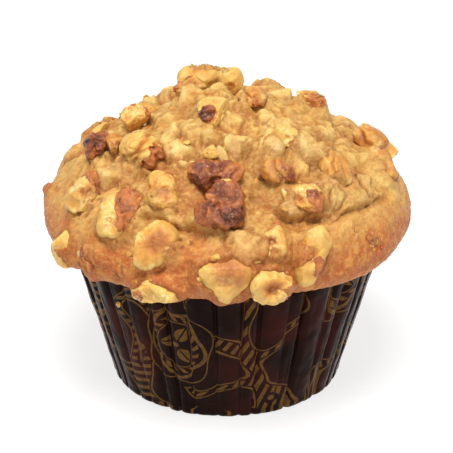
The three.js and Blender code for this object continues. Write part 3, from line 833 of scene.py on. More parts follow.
def fine_relief(latitude, p):
    """Height in mm, height of the covered nuts, darkness from 0 to 1 in creases and pores, tone from
    0 low to 1 raised, and how pale or brown a nut under the crust shines through.

    clumps + clots + ripples along the crown, all where it is lumpy, + sandy grain - wrinkles - pores;
    covered nuts are flat topped, exp(-(distance / radius) ** 6). The darkness is painted shade in the
    seams between clumps and clots, in wrinkles and pores and in the groove round each covered nut, and
    the tone is painted light: paler on raised clumps, clots and crumbs and darker in low places.
    """
    lumpy = smooth(latitude, 12, 36) * mix(0.7, 1, smooth(grain(p, 16, 4), -0.4, 0.4))
    lumpy = lumpy * (1 - 0.5 * bell(away_from(p, CALM_PLACE), CALM_SPREAD))
    bent = p + 1.8 * grain_vector(p, 6, 21)
    bent = bent + 0.5 * grain_vector(p, 2.2, 24)
    clump, apart = pebbles(bent, CLUMP_SPACING, 5, soft=PEBBLE_SOFT)
    seam = 1 - smooth(apart, 0, 0.22)
    clot, apart = pebbles(bent, CLOT_SPACING, 6, soft=PEBBLE_SOFT)
    small_seam = 1 - smooth(apart, 0, 0.3)
    crumb = pebbles(bent, CRUMB_SPACING, 7, soft=PEBBLE_SOFT)[0]
    ripple = grain(bent * (0.7, 0.7, 1.7), RIPPLE_SPACING, 14)
    sand = 0.6 * grain(p, 2.2, 8) + grain(p, 1.2, 9)

    level, lit = PEBBLE_REACH
    height = CLUMP_HEIGHT * (level - clump) + CLOT_HEIGHT * (level - clot) + RIPPLE_HEIGHT * ripple
    height = lumpy * (height - SEAM_DEPTH * seam - SMALL_SEAM_DEPTH * small_seam)
    height = height + mix(0.3, 1, lumpy) * CRUMB_HEIGHT * (level - crumb) + SAND_HEIGHT * sand
    height = height + ROLL_HEIGHT * (1 - lumpy) * grain(p, ROLL_SPACING, 10)
    relief_light = lumpy * (0.5 * (lit - clump) + 0.6 * (lit - clot) + 0.25 * ripple)
    relief_light = 0.5 + relief_light + mix(0.25, 0.5, lumpy) * (lit - crumb) + 0.1 * sand

    nut = np.zeros(len(p))
    covered = np.zeros(len(p))
    ragged = 0.16 * grain(p, 2.4, 16) + 0.08 * grain(p, 1.3, 17)
    seam_shade = lumpy * np.maximum(0.85 * seam, 0.45 * small_seam)
    for chunk_azimuth, chunk_latitude, rise, radius, pale in CHUNKS:
        away = away_from(bent, dome(chunk_azimuth, chunk_latitude)) / radius + ragged
        over = np.exp(-(away**6))
        height = mix(height, 0.75 * height, over)
        covered = covered + rise * over * (1 + 0.5 * grain(p, 3, 15) + ragged)
        height = height - CHUNK_GROOVE * bell(away - CHUNK_EDGE, 0.13)
        relief_light = relief_light + 0.15 * over
        nut = nut + pale * over * (0.8 + 0.6 * grain(p, 3, 18))
        seam_shade = np.maximum(seam_shade * (1 - over), 0.9 * bell(away - CHUNK_EDGE, 0.15))
    for places, depth, width in WRINKLES:
        groove = bell(distance_to_line(bent, dome(*np.array(places, float).T)), width)
        height = height - depth * groove
        seam_shade = np.maximum(seam_shade, 0.9 * groove)
    for place, radius in zip(pore_places, pore_radii):
        hole = bell(away_from(p, place), radius)
        height = height - 0.7 * radius * hole
        seam_shade = np.maximum(seam_shade, 0.8 * hole)
    return height, covered, seam_shade, relief_light, nut


# %% [markdown]
# Where a kernel is stuck in the batter, the batter crept up its side and set there, and right at the
# kernel's skin a narrow band of painted shade darkens the crust where it meets the kernel. The distance
# from each point of the cake to a kernel's skin is its distance from the kernel's middle less the
# kernel's reach in that direction, and the creep is a bell over that distance.

# %% Batter against the kernels
CREEP_WIDTH = 1.9
CREEP_HEIGHT = 1.3
# The contact shade at each kernel's skin is painted shade, this wide.
CONTACT_SHADE_WIDTH = 0.8  # of the dark line at a kernel's skin
FILM = 0.6  # batter over a covered part of a kernel
LIFTS = np.arange(0.5, 9, 0.5)  # heights in mm at which the cake feels for the kernel over it


def reach_of(kernel, away):
    """A kernel's reach in the directions of these places from its middle: that of the nearest spoke."""
    toward = unit(away).astype(np.float32)
    return kernel["radius"][(toward @ SPOKES.T.astype(np.float32)).argmax(-1)]


def beside_kernel(kernel, points, margin):
    """Numbers of the points near a kernel, their places from its middle and distances from its skin."""
    away = points - kernel["middle"]
    distance = np.linalg.norm(away, axis=-1)
    close = np.flatnonzero(distance < kernel["radius"].max() + margin)
    away = away[close]
    return close, away, distance[close] - reach_of(kernel, away)


def creep(points, outs):
    """Height in mm by which the batter climbs at or over the kernels, and how near one each point is.

    rise = height * (1 + the kernel's draw) * unevenness * bell(distance from its skin); where a cover
    lies, the batter reaches a film over the highest place still inside the kernel.
    """
    height = np.zeros(len(points))
    near = np.zeros(len(points))
    for name, kernel in kernels.items():
        seed = int(name[-2:])
        look = look_of(name)
        close, away, gap = beside_kernel(kernel, points, 3 * CREEP_WIDTH)
        uneven = 1 + 0.8 * grain(points[close], 5, seed + 80)
        rise = CREEP_HEIGHT * (1 + 0.6 * draw(seed, 40)) * uneven * bell(np.maximum(gap, 0), CREEP_WIDTH)

        cover = inside_caps(look, "cover", unit(away)) + 0.3 * grain(points[close], 2.6, seed + 90)
        cover = smooth(cover, -0.35, 0.1)
        wet = np.flatnonzero((cover > 0) & (gap < 0.5))
        top = np.zeros(len(wet))
        for lift in LIFTS:
            over = away[wet] + lift * outs[close[wet]]
            inside = np.linalg.norm(over, axis=-1) < reach_of(kernel, over)
            top = np.where(inside, lift, top)
        rise[wet] = np.maximum(rise[wet], cover[wet] * (top + FILM))
        height[close] = np.maximum(height[close], rise)
        # near also carries painted contact shade at each kernel's skin, laid in the crust's colour.
        near[close] = np.maximum(near[close], bell(np.maximum(gap, 0), CONTACT_SHADE_WIDTH) * (1 - cover))
    return height, near


# %% [markdown]
# The surface is put together on three stretches that share their seams: the top on the mapped square,
# the underside in rings from its edge to the cup, and the plain body that fills the cup, closed at
# its foot. Baking is a value at each point: least high up, most on the roll at the rim and towards the
# front right, where the oven was hottest, with a few toasted spots and one spot of painted shade
# under a kernel at the left.

# %% The grid over the dome
TOP_CELLS = 290
UNDER_ROWS = 8

side = np.linspace(-1, 1, TOP_CELLS + 1)
u, v = np.meshgrid(side, side, indexing="ij")
wide = np.abs(u) > np.abs(v)
out = np.maximum(np.abs(u), np.abs(v))
long = np.where(wide, u, v)
turn = np.pi / 4 * np.where(wide, v, u) / np.where(long == 0, 1, long)
wide_angle = turn + np.where(u < 0, np.pi, 0)
angle = np.where(wide, wide_angle, np.pi / 2 - turn + np.where(v < 0, np.pi, 0))
azimuth = np.degrees(angle).ravel()
latitude = 90 * (1 - out).ravel()

number = np.arange((TOP_CELLS + 1) ** 2).reshape(TOP_CELLS + 1, TOP_CELLS + 1)
top_quads = np.stack([number[:-1, :-1], number[1:, :-1], number[1:, 1:], number[:-1, 1:]], -1)
rim = np.concatenate([number[:-1, 0], number[-1, :-1], number[:0:-1, -1], number[0, :0:-1]])
under = np.arange(1, UNDER_ROWS + 1) / UNDER_ROWS * -90
azimuth = np.concatenate([azimuth, np.tile(azimuth[rim], UNDER_ROWS)])
latitude = np.concatenate([latitude, np.repeat(under, len(rim))])
print("points over the dome:", len(latitude), "round its rim:", len(rim))

# %% Raise the crown
BESIDE_WIDTH = 2.2  # mm from a kernel within which the clumps die out
BESIDE_CALM = 0.85

plain = dome(azimuth, latitude)
outs = outward(azimuth, np.minimum(latitude, 89.5))
outs[latitude > 89.9] = (0, 0, 1)
broad, folded = broad_relief(latitude, plain)
crown = plain + outs * broad[:, None]
fine, covered, seam_shade, relief_light, nut = fine_relief(latitude, crown)
beside = np.zeros(len(crown))
for kernel in kernels.values():
    close, away, gap = beside_kernel(kernel, crown, 5)
    beside[close] = np.maximum(beside[close], bell(np.maximum(gap, 0), BESIDE_WIDTH))
fine = fine - BESIDE_CALM * beside * np.maximum(fine, 0) + covered
kept = 1 - smooth(latitude, -40, -80)
crown = crown + outs * (fine * kept)[:, None]
rise, near = creep(crown, outs)
crown = crown + outs * (rise * kept)[:, None]
print("crown: fine relief mm", np.round([fine.min(), fine.max()], 2), "creep mm", round(float(rise.max()), 2))

# %% Bake the crust
# The spot at azimuth -149, latitude 13 is painted shade under a kernel; the others are toasted spots.
TOASTED_AND_SHADED_SPOTS = [
    (-40.5, 7.5, 2.4, 0.8), (-149, 13, 3.5, 0.5), (-135, 14, 3.0, 0.35), (-124, 8, 5.0, 0.3),
    (-99, 4, 5.0, 0.3), (60, 20, 4.0, 0.4), (140, 12, 5.0, 0.3), (-98.5, 22.5, 2.6, 0.5),
    (-99.5, 14, 3.5, 0.3), (-165, 6, 6.0, 0.35),
]  # azimuth, latitude, spread in mm, how much browner
HEAT_SIDE = -55  # azimuth of the side that baked most

low = smooth(latitude, 30, -6) + 0.25 * bell(latitude - 36, 13)
facing_heat = 0.5 + 0.5 * np.cos(np.radians(azimuth - HEAT_SIDE))
bake = low * mix(0.6, 1.4, facing_heat) + 0.1 * waves(crown, 22, 3) + 0.16 * grain(crown, 7, 12)
for spot_azimuth, spot_latitude, spread, amount in TOASTED_AND_SHADED_SPOTS:
    bake = bake + amount * bell(away_from(crown, dome(spot_azimuth, spot_latitude)), spread)
# Painted shade: the crust is darkened in the seams, wrinkles and pores, along the broad creases, at each
# kernel's skin and a little beside each kernel.
crease_shade = np.max([seam_shade, 0.6 * folded, 0.7 * near, 0.35 * beside], axis=0)
# height is painted light: paler on raised lumps, clots and crumbs, darker in low places.
crust_fields = {
    "bake": np.clip(bake, 0, 1),
    "crease_shade": np.clip(crease_shade, 0, 1),
    "height": np.clip(relief_light, 0, 1),
    "nut": nut,
}
print("bake from", round(float(bake.min()), 2), "to", round(float(bake.max()), 2))

# %% Close the cake
BODY_ROWS = 1

shares = np.arange(1, BODY_ROWS + 1) / BODY_ROWS
body_radius = mix(NECK_RADIUS, FOOT_RADIUS, shares)[:, None]
a = np.radians(azimuth[rim])
body_height = np.repeat(mix(NECK_HEIGHT, FOOT_HEIGHT, shares), len(rim)).reshape(BODY_ROWS, -1)
body = np.stack([body_radius * np.cos(a), body_radius * np.sin(a), body_height], -1).reshape(-1, 3)
points = np.concatenate([crown, body, [[0, 0, FOOT_HEIGHT]]])

ring_count = UNDER_ROWS + BODY_ROWS
lower_rings = number.size + np.arange(ring_count * len(rim)).reshape(ring_count, len(rim))
rings = np.concatenate([rim[None], lower_rings])
right = np.roll(rings, -1, axis=1)
ring_faces = np.stack([rings[1:], right[1:], right[:-1], rings[:-1]], -1).reshape(-1, 4)
foot = np.stack([rings[-1], np.full(len(rim), len(points) - 1), right[-1]], -1)

rest = np.zeros(len(points) - len(crown))
cake = make_piece(
    "cake_crust",
    points,
    [top_quads.reshape(-1, 4), ring_faces, foot],
    {field: np.concatenate([values, rest]) for field, values in crust_fields.items()},
)
print("cake:", len(points), "points, height mm", round(float(points[:, 2].max()), 1))

# %% [markdown]
# ## The paper cup
#
# The cup is one round sheet of greaseproof paper pressed into pleats. Its wall is a profile carried
# round a circle: each pleat is a wide, softly rounded panel that meets the next in a narrow groove,
# deeper towards the edge because the sheet has more to take up there. Some folds were pressed less
# than others, and handling has dented the panels. Each point also keeps its place on the flat sheet,
# so that the print runs over the panels at its true size and vanishes into the grooves, as it does on
# a real cup. Inside and outside are two skins of one closed shell.

# %% The pleats
CUP_BASE_RADIUS = 29.4
CUP_FLARE = 0.283
FOLD_RISE = 1.8
FOLD_INSET = 1.1
PLEATS = 40
PLEAT_DEPTH_LOW = 0.7
PLEAT_DEPTH_HIGH = 1.7
PLEAT_WANDER = 0.18
PLEAT_UNEVEN = 0.3
PLEAT_SLACK = 0.45  # some folds were pressed less than others
PAPER = 0.3
GROOVE_POWER = 2.4  # 1 would be a straight fold from crest to valley, more is a rounder panel
HIDDEN_FROM = 0.86  # share of the way to the valley past which the print turns into the groove
STEPS = 9  # points from a crest to a valley
DENTS = (6, 0.3)  # spacing and depth of the dents in the panels
CRUMPLES = (3, 0.12)  # and of the smaller ones in the whole sheet

fold = np.arange(2 * PLEATS)
fold_turns = (fold / 2 + PLEAT_WANDER * draw(fold, 0)) / PLEATS * 2 * np.pi
fold_depths = 1 + PLEAT_UNEVEN * draw(fold, 1)
step = np.tile(np.arange(STEPS) / STEPS, 2 * PLEATS)
here = np.repeat(fold, STEPS)
ahead = (here + 1) % (2 * PLEATS)
to_valley = here % 2 == 0
share = np.where(to_valley, step, 1 - step)  # 0 on a crest, 1 in a valley
share = share ** np.where(share > 0, 0.8, 1)  # closer points near the valley
crest = np.where(to_valley, here, ahead)
valley = np.where(to_valley, ahead, here)
crest_turn = fold_turns[crest] + np.where(to_valley | (crest != 0), 0, 2 * np.pi)
valley_turn = fold_turns[valley]


def cup_ring(height, inset, low=None):
    """Places round the cup at a height, and their places on the flat sheet.

    radius = crest's radius - depth * share ** power - dents; on the sheet the panel runs at its true
    width and the rest of the sheet is taken up between HIDDEN_FROM and the valley. Where low is given
    the ring lies at that level instead.
    """
    turn = mix(crest_turn, valley_turn, share)
    lean = 0.05 * draw(crest, 5) * 2 * np.pi / PLEATS * height / CUP_HEIGHT
    crest_radius = CUP_BASE_RADIUS + CUP_FLARE * height
    depth = mix(PLEAT_DEPTH_LOW, PLEAT_DEPTH_HIGH, height / CUP_HEIGHT) * fold_depths[valley]
    depth = depth * (1 + PLEAT_SLACK * draw(valley, 7))
    radius = crest_radius - depth * share**GROOVE_POWER - inset
    wall = np.stack([crest_radius * np.cos(turn), crest_radius * np.sin(turn), 0 * turn + height], -1)
    radius = radius - DENTS[1] * (1 + grain(wall * (1, 1, 0.5), DENTS[0], 31)) * (1 - share)
    radius = radius - CRUMPLES[1] * (1 + grain(wall, CRUMPLES[0], 32))
    turn = turn + lean * (1 - share)
    sheet_radius = CUP_BASE_RADIUS - FOLD_INSET + height * math.hypot(1, CUP_FLARE)
    shown = crest_radius / sheet_radius
    travelled = shown * share
    hidden = (1 - shown) * smooth(share, HIDDEN_FROM, 1)
    sheet_turn = mix(crest_turn, valley_turn, travelled + hidden)
    sheet_turn = sheet_turn + 0.02 * draw(crest, 6) * (1 - smooth(share, HIDDEN_FROM, 1))
    level = height if low is None else low
    place = np.stack([radius * np.cos(turn), radius * np.sin(turn), 0 * turn + level], -1)
    sheet = sheet_radius * np.stack([np.cos(sheet_turn), np.sin(sheet_turn)], -1)
    return place, sheet


first_radii = np.linalg.norm(cup_ring(0.0, 0.0)[0][:, :2], axis=-1)
print("points round the cup:", len(first_radii), "radius mm",
      np.round([first_radii.min(), first_radii.max()], 2))

# %% [markdown]
# The rows of the shell go from the middle of the base outwards, round the fold at the foot, up the
# outside, over the edge, down the inside and back to the middle. Both middles are closed with a fan.

# %% Build the cup
WALL_ROWS = 60
rows = []
sheets = []


def add_row(place, sheet):
    """Keeps one more row of the shell."""
    rows.append(place)
    sheets.append(sheet)


base_ring, base_sheet = cup_ring(FOLD_RISE, FOLD_INSET, low=0.0)
for out in (0.3, 0.6, 0.8, 0.92):
    add_row(base_ring * (out, out, 1), base_sheet * out)
for part in np.linspace(0, 1, 6):
    ring, sheet = cup_ring(FOLD_RISE, FOLD_INSET * (1 - math.sin(part * math.pi / 2)))
    ring[:, 2] = FOLD_RISE * (1 - math.cos(part * math.pi / 2))
    add_row(ring, sheet)
for height in np.linspace(FOLD_RISE, CUP_HEIGHT, WALL_ROWS)[1:]:
    add_row(*cup_ring(height, 0.0))
for height in np.linspace(CUP_HEIGHT, FOLD_RISE, WALL_ROWS // 2):
    add_row(*cup_ring(height, PAPER))
for out in (1, 0.8, 0.4):
    ring, sheet = cup_ring(FOLD_RISE, FOLD_INSET + PAPER, low=PAPER)
    add_row(ring * (out, out, 1), sheet * out)
around = len(base_ring)
points = np.concatenate([*rows, [[0, 0, 0], [0, 0, PAPER]]])
sheet = np.concatenate([*sheets, [[0, 0], [0, 0]]])
first = np.arange(around)
last = first + (len(rows) - 1) * around
fans = np.concatenate(
    [
        np.stack([first, np.full(around, len(points) - 2), np.roll(first, -1)], -1),
        np.stack([last, np.roll(last, -1), np.full(around, len(points) - 1)], -1),
    ]
)
cup = make_piece("paper_cup", points, [ring_quads(len(rows), around), fans], sheet=sheet)
print("cup:", len(points), "points, height mm", round(float(points[:, 2].max()), 1))

# %% [markdown]
# ## Crumbs
#
# Chopping walnuts leaves bits and dust, and they stick where the batter is wet: mostly beside the
# kernels. Each is a lumpy ball of about a hundred faces, half sunk in the crust, and all of them are
# one mesh, because they are too many to place or to name one by one. A small nest of flakes sits on
# the smooth roll at the front right, and one pale bit has dropped on the cup.

# %% Build the crumbs
CRUMBS = 190
SKIN_SHARE = 0.35  # of the crumbs, the rest are flesh
FLAKES = 16
FLAKE_PLACE = dome(-39.5, 7.5)
FLAKE_SPREAD = 2.9
DROPPED_PLACE = np.array([-26.2, -27.9, 30.7])
DROPPED_WAY = [-0.7, -0.7, 0.2]  # out of the cup there
DROPPED_SIZE = 0.62

crumb_draws = np.random.default_rng(5)
crumb_spokes, crumb_quads = cube_sphere(4)
likely = np.where(latitude > -15, 0.04 + near * (near < 0.95), 0)
seats = crumb_draws.choice(len(crown), CRUMBS, p=likely / likely.sum())
nest = np.flatnonzero(away_from(crown, FLAKE_PLACE) < FLAKE_SPREAD)
nest_seats = crumb_draws.choice(nest, FLAKES)
nest_places = crown[nest_seats] + 0.15 * outs[nest_seats]
crumb_middles = np.concatenate([crown[seats], nest_places, [DROPPED_PLACE]])
bit_sizes = 0.22 + 0.7 * crumb_draws.random(CRUMBS) ** 2.5
flake_sizes = crumb_draws.uniform(0.5, 0.95, FLAKES)
crumb_sizes = np.concatenate([bit_sizes, flake_sizes, [DROPPED_SIZE]])
stretch = crumb_draws.uniform(0.6, 1.3, (len(crumb_sizes), 1, 3))
crumb_numbers = np.arange(len(crumb_sizes))[:, None, None]
apart = (crumb_spokes + 7.0 * crumb_numbers).reshape(-1, 3)  # each crumb at its own place in the noise
lumpy = 1 + 0.35 * grain(apart, 0.9, 3).reshape(len(crumb_sizes), -1, 1)
shape = crumb_spokes * stretch * lumpy * crumb_sizes[:, None, None]
lie = np.concatenate([outs[seats], outs[nest_seats], [DROPPED_WAY]])[:, None]
shape = shape - 0.5 * (shape * lie).sum(-1, keepdims=True) * lie
points = (crumb_middles[:, None] + shape).reshape(-1, 3)
faces = (crumb_quads + crumb_numbers * len(crumb_spokes)).reshape(-1, 4)
each = len(crumb_spokes)
is_skin = np.where(crumb_draws.random(len(crumb_sizes)) < SKIN_SHARE, 1.0, -1.0)
is_skin[CRUMBS : CRUMBS + FLAKES] = crumb_draws.choice([1.0, 1.0, -1.0], FLAKES)
is_skin[-1] = -1.0
crumbs = make_piece(
    "crumbs",
    points,
    [faces],
    {
        "skin": np.repeat(is_skin, each),
        "flesh": np.repeat(crumb_draws.uniform(0.1, 0.6, len(is_skin)), each),
        "hide": np.repeat(crumb_draws.uniform(-0.2, 0.4, len(is_skin)), each),
        "shade": np.zeros(len(points)),
        "rough": np.zeros(len(points)),
    },
)
print("crumbs:", len(crumb_sizes), "in one mesh of", 2 * len(faces), "triangles")

# %% [markdown]
# ## A helper for shader nodes
#
# A material is a small network of nodes. One function adds any node, sets its settings, and gives
# each input either a plain value or a link from another node's output. It hands back the output that
# is wanted, so that a formula can be built up line by line. Inputs go by name or by number: a Map
# Range node takes the value, the two ends it runs between, and what they become, from 0 to 1 unless
# it is told otherwise; Multiply Add takes two factors and what is added; and Compare gives 1 where
# its first two inputs differ by less than its third.

# %% Node helper
def add(tree, kind, inputs=(), output=0, **settings):
    """Adds a shader node, sets settings and inputs, and returns the wanted output socket."""
    node = tree.nodes.new("ShaderNode" + kind)
    for setting, value in settings.items():
        setattr(node, setting, value)
    for socket, value in dict(inputs).items():
        if isinstance(value, bpy.types.NodeSocket):
            tree.links.new(value, node.inputs[socket])
        else:
            node.inputs[socket].default_value = value
    return node.outputs[output] if len(node.outputs) else node


def new_material(name, **sockets):
    """A material with one shader whose sockets have these values, and its node tree and shader."""
    material = bpy.data.materials.new(name)
    material.use_nodes = True
    tree = material.node_tree
    shader = tree.nodes["Principled BSDF"]
    for socket, value in sockets.items():
        shader.inputs[socket.replace("_", " ")].default_value = value
    return material, tree, shader


def add_ramp(tree, factor, stops):
    """Adds a colour ramp with these stops of position and hex colour, and returns its colour."""
    colour = add(tree, "ValToRGB", {"Fac": factor}, "Color")
    ramp = colour.node.color_ramp
    while len(ramp.elements) < len(stops):
        ramp.elements.new(0.5)
    for element, (position, hex_colour) in zip(ramp.elements, stops):
        element.position = position
        element.color = linear(hex_colour)
    return colour


def coats(tree, colour, *layers):
    """Lays flat hex colours over a colour, each by its share from 0 to 1, and returns the result."""
    for share, hex_colour in layers:
        colour = add(tree, "Mix", {0: share, 6: colour, 7: linear(hex_colour)}, 2, data_type="RGBA")
    return colour


def per_mm(size):
    """The scale at which a pattern on object coordinates, which are metres, repeats each size mm."""
    return 1 / (size * MM)


print("a 2 mm pattern has scale", round(per_mm(2)))

# %% [markdown]
# ## Baked crust
#
# The crust is sugar and egg browned in the oven: golden where it is pale and orange brown where it
# met the most heat. It is moist, so light goes a little way in and comes out yellow, and its lumps have
# a soft shine. The bake value carries the broad colour. Painted shade darkens it in seams, wrinkles,
# pores and creases and round the kernels, and painted light makes raised lumps paler and low places
# darker. Noises from eight millimetres down to under one break it up: places that baked less,
# blotches, a red and yellow blush on the brown, specks, and pale and dark grains of sugar.

# %% Crust material
crust, tree, shader = new_material(
    "muffin_crust_oven_browned",
    Roughness=0.44,
    Subsurface_Weight=0.22,
    Subsurface_Scale=0.0014,
    Subsurface_Radius=(1.0, 0.5, 0.2),
    Specular_IOR_Level=0.28,
)
place = add(tree, "TexCoord", output="Object")
bake_value, crease_shade_value, relief_light_value, nut_value = [
    add(tree, "Attribute", output="Fac", attribute_name=field)
    for field in ("bake", "crease_shade", "height", "nut")
]
blotch, fresh, blush, speck, sand = [
    add(tree, "TexNoise", {"Vector": place, "Scale": per_mm(size), "Detail": detail, "Roughness": rough})
    for size, detail, rough in ((5, 4, 0.65), (8, 3, 0.5), (2.6, 3, 0.7), (0.8, 2, 0.7), (0.8, 4, 0.7))
]
uneven = add(tree, "Math", {0: blotch, 1: 0.5}, operation="SUBTRACT")
baked = add(tree, "Math", {0: uneven, 1: 1.1, 2: bake_value}, operation="MULTIPLY_ADD", use_clamp=True)
raised = add(tree, "Math", {0: uneven, 1: 0.9, 2: relief_light_value}, operation="MULTIPLY_ADD")
fresher, pale_nut, dark_nut, redder, yellower, specks, dark_grain = [
    add(tree, "MapRange", {0: value, 1: start, 2: end, 4: most})
    for value, start, end, most in (
        (fresh, 0.5, 0.64, 0.5), (nut_value, 0, 1, 0.85), (nut_value, 0, -1, 0.8),
        (blush, 0.52, 0.64, 0.5), (blush, 0.48, 0.36, 0.5), (speck, 0.56, 0.7, 0.5),
        (sand, 0.5, 0.34, 0.42),
    )
]
pale_most = add(tree, "MapRange", {0: baked, 2: 0.8, 3: 0.45, 4: 0.3})
pale_grain = add(tree, "MapRange", {0: sand, 1: 0.5, 2: 0.66, 4: pale_most})
# Painted shade in seams, wrinkles, pores, creases and round the kernels, laid over the crust colour.
painted_crease_shade = add(tree, "Math", {0: crease_shade_value, 1: 0.85}, operation="MULTIPLY")

# raised is painted light over blotches: both ramps run darker in low places and paler on raised lumps.
golden = add_ramp(tree, raised, [(0, "#985a20"), (0.35, "#c69347"), (0.65, "#e0c070"), (1, "#f3e2a3")])
golden = coats(tree, golden, (fresher, "#dcc06e"), (pale_nut, "#f0d68c"), (dark_nut, "#a9743e"))
browned = add_ramp(tree, raised, [(0, "#873a15"), (0.35, "#ad5924"), (0.65, "#c26f32"), (1, "#df9d50")])
browned = coats(tree, browned, (redder, "#b54d1c"), (yellower, "#e0a34c"))
crust_colour = add(tree, "Mix", {0: baked, 6: golden, 7: browned}, 2, data_type="RGBA")
crust_colour = coats(
    tree,
    crust_colour,
    (painted_crease_shade, "#904b1b"),
    (specks, "#8a4c20"),
    (pale_grain, "#ebc884"),
    (dark_grain, "#a3612b"),
)
tree.links.new(crust_colour, shader.inputs["Base Color"])
grit = add(tree, "Bump", {"Height": sand, "Strength": 0.9, "Distance": 0.5 * MM})
tree.links.new(grit, shader.inputs["Normal"])
print("crust has", len(tree.nodes), "nodes")

# %% [markdown]
# ## Walnut
#
# Walnut flesh is waxy, pale yellow and a little see-through, and the oven toasts it to tan. The skin
# is a thin papery film, amber to purple brown and glossy with oil, with pale specks that are partly
# bits of flesh and partly painted glints. One material draws both: the skin field, sharpened with a
# fine noise, decides which shows, a dark line follows the torn edge, where the flesh broke roughly it
# is strewn with pale crumbs, and the shade field lays painted shade in the seams and hollows.

# %% Walnut material
walnut, tree, shader = new_material(
    "walnut_kernel_toasted",
    Subsurface_Weight=0.3,
    Subsurface_Scale=0.002,
    Subsurface_Radius=(1.0, 0.6, 0.2),
    Specular_IOR_Level=0.34,
)
place = add(tree, "TexCoord", output="Object")
skin_value, flesh_value, hide_value, shade_value, rough_value = [
    add(tree, "Attribute", output="Fac", attribute_name=field)
    for field in ("skin", "flesh", "hide", "shade", "rough")
]
tear, patch, wax, pitting = [
    add(tree, "TexNoise", {"Vector": place, "Scale": per_mm(size), "Detail": detail, "Roughness": rough})
    for size, detail, rough in ((0.8, 3, 0.5), (2.6, 3, 0.6), (4.5, 2, 0.5), (1, 4, 0.65))
]
torn = add(tree, "Math", {0: tear, 1: 0.5}, operation="SUBTRACT")
patched = add(tree, "Math", {0: patch, 1: 0.5}, operation="SUBTRACT")
edge, toasted, tanned = [
    add(tree, "Math", {0: uneven, 1: strength, 2: value}, operation="MULTIPLY_ADD")
    for uneven, strength, value in (
        (torn, 0.45, skin_value), (patched, 0.7, flesh_value), (patched, 1.6, hide_value),
    )
]
is_skin = add(tree, "MapRange", {0: edge, 1: -0.03, 2: 0.03})
# dust is pale specks on the skin, partly bits of flesh and partly painted glints.
waxy, dust_and_glints, crumbs_on = [
    add(tree, "MapRange", {0: value, 1: start, 2: end, 4: most})
    for value, start, end, most in (
        (wax, 0.48, 0.62, 0.4), (tear, 0.56, 0.66, 0.45), (tear, 0.48, 0.6, 0.8),
    )
]
crumbled = add(tree, "Math", {0: crumbs_on, 1: rough_value}, operation="MULTIPLY")
from_edge = add(tree, "Math", {0: edge, 1: 0.03}, operation="SUBTRACT")
off_edge = add(tree, "Math", {0: from_edge}, operation="ABSOLUTE")
rim_line = add(tree, "MapRange", {0: off_edge, 2: 0.07, 3: 0.45, 4: 0})
# in_shade is painted shade in the seams between lobes and in the hollows.
in_shade = add(tree, "Math", {0: shade_value, 1: 0.6}, operation="MULTIPLY")

flesh = add_ramp(tree, toasted, [(0, "#e2ba66"), (0.3, "#d69d4a"), (0.6, "#c07d3c"), (1, "#a35c2b")])
flesh = coats(tree, flesh, (waxy, "#ba8d50"), (crumbled, "#efd898"))
hide = add_ramp(tree, tanned, [(0, "#ba7239"), (0.35, "#8c4c2e"), (0.65, "#6b382d"), (1, "#3b1e1c")])
hide = coats(tree, hide, (dust_and_glints, "#cf9468"))
kernel_colour = add(tree, "Mix", {0: is_skin, 6: flesh, 7: hide}, 2, data_type="RGBA")
kernel_colour = coats(tree, kernel_colour, (rim_line, "#7d4427"), (in_shade, "#a35a24"))
tree.links.new(kernel_colour, shader.inputs["Base Color"])
oily = add(tree, "MapRange", {0: is_skin, 3: 0.34, 4: 0.24})
tree.links.new(oily, shader.inputs["Roughness"])
pitted = add(tree, "Bump", {"Height": pitting, "Strength": 0.9, "Distance": 0.5 * MM})
tree.links.new(pitted, shader.inputs["Normal"])
print("walnut has", len(tree.nodes), "nodes")

# %% [markdown]
# ## Printed greaseproof paper
#
# The cup is dark brown greaseproof paper, calendered to a gloss and printed with a dull gold ink.
# The print is worked out on the flat sheet, in millimetres, before the pleats fold it. The sheet is
# laid out in bricks. Most have a rosette, shifted, shrunk and turned by the brick's own draws: a
# scalloped band between two lines, a ring of small slanted leaves, and three large leaves about a
# dot. Ribbons of slanted strokes cross the rest. Each shape is a distance compared with a width, so
# that the lines stay sharp at any size, which a drawn picture of the print would not.

# %% The bricks of the print
ROSETTE_PITCH = 35.0
ROW_PITCH = 30.5
SHIFT_X = 5.0
SHIFT_Y = 4.0
SHRINK = 0.3  # the smallest rosettes are a full one over 1 + this

paper, tree, shader = new_material(
    "greaseproof_paper_printed",
    Roughness=0.2,
    Specular_IOR_Level=0.03,
)
sheet_place = add(tree, "UVMap", uv_map="sheet")
pitches = (1 / ROSETTE_PITCH, 1 / ROW_PITCH, 0)
bricks = add(tree, "VectorMath", {0: sheet_place, 1: pitches}, operation="MULTIPLY")
brick_x, brick_y = add(tree, "SeparateXYZ", {0: bricks}).node.outputs[:2]
row = add(tree, "Math", {0: brick_y}, operation="FLOOR")
odd = add(tree, "Math", {0: row, 1: 2}, operation="FLOORED_MODULO")
along = add(tree, "Math", {0: odd, 1: 0.5, 2: brick_x}, operation="MULTIPLY_ADD")
column = add(tree, "Math", {0: along}, operation="FLOOR")
cell_name = add(tree, "CombineXYZ", {0: column, 1: row})
cell_draws = add(tree, "TexWhiteNoise", {"Vector": cell_name}, "Color", noise_dimensions="2D")
first_draw, second_draw, third_draw = add(tree, "SeparateColor", {0: cell_draws}).node.outputs
shifted = []
for place, corner, pitch, shift, chance in (
    (along, column, ROSETTE_PITCH, SHIFT_X, second_draw),
    (brick_y, row, ROW_PITCH, SHIFT_Y, third_draw),
):
    inside = add(tree, "Math", {0: place, 1: corner}, operation="SUBTRACT")
    local = add(tree, "Math", {0: inside, 1: pitch, 2: -pitch / 2}, operation="MULTIPLY_ADD")
    shifted.append(add(tree, "Math", {0: chance, 1: shift, 2: local}, operation="MULTIPLY_ADD"))
local = add(tree, "CombineXYZ", {0: shifted[0], 1: shifted[1]})
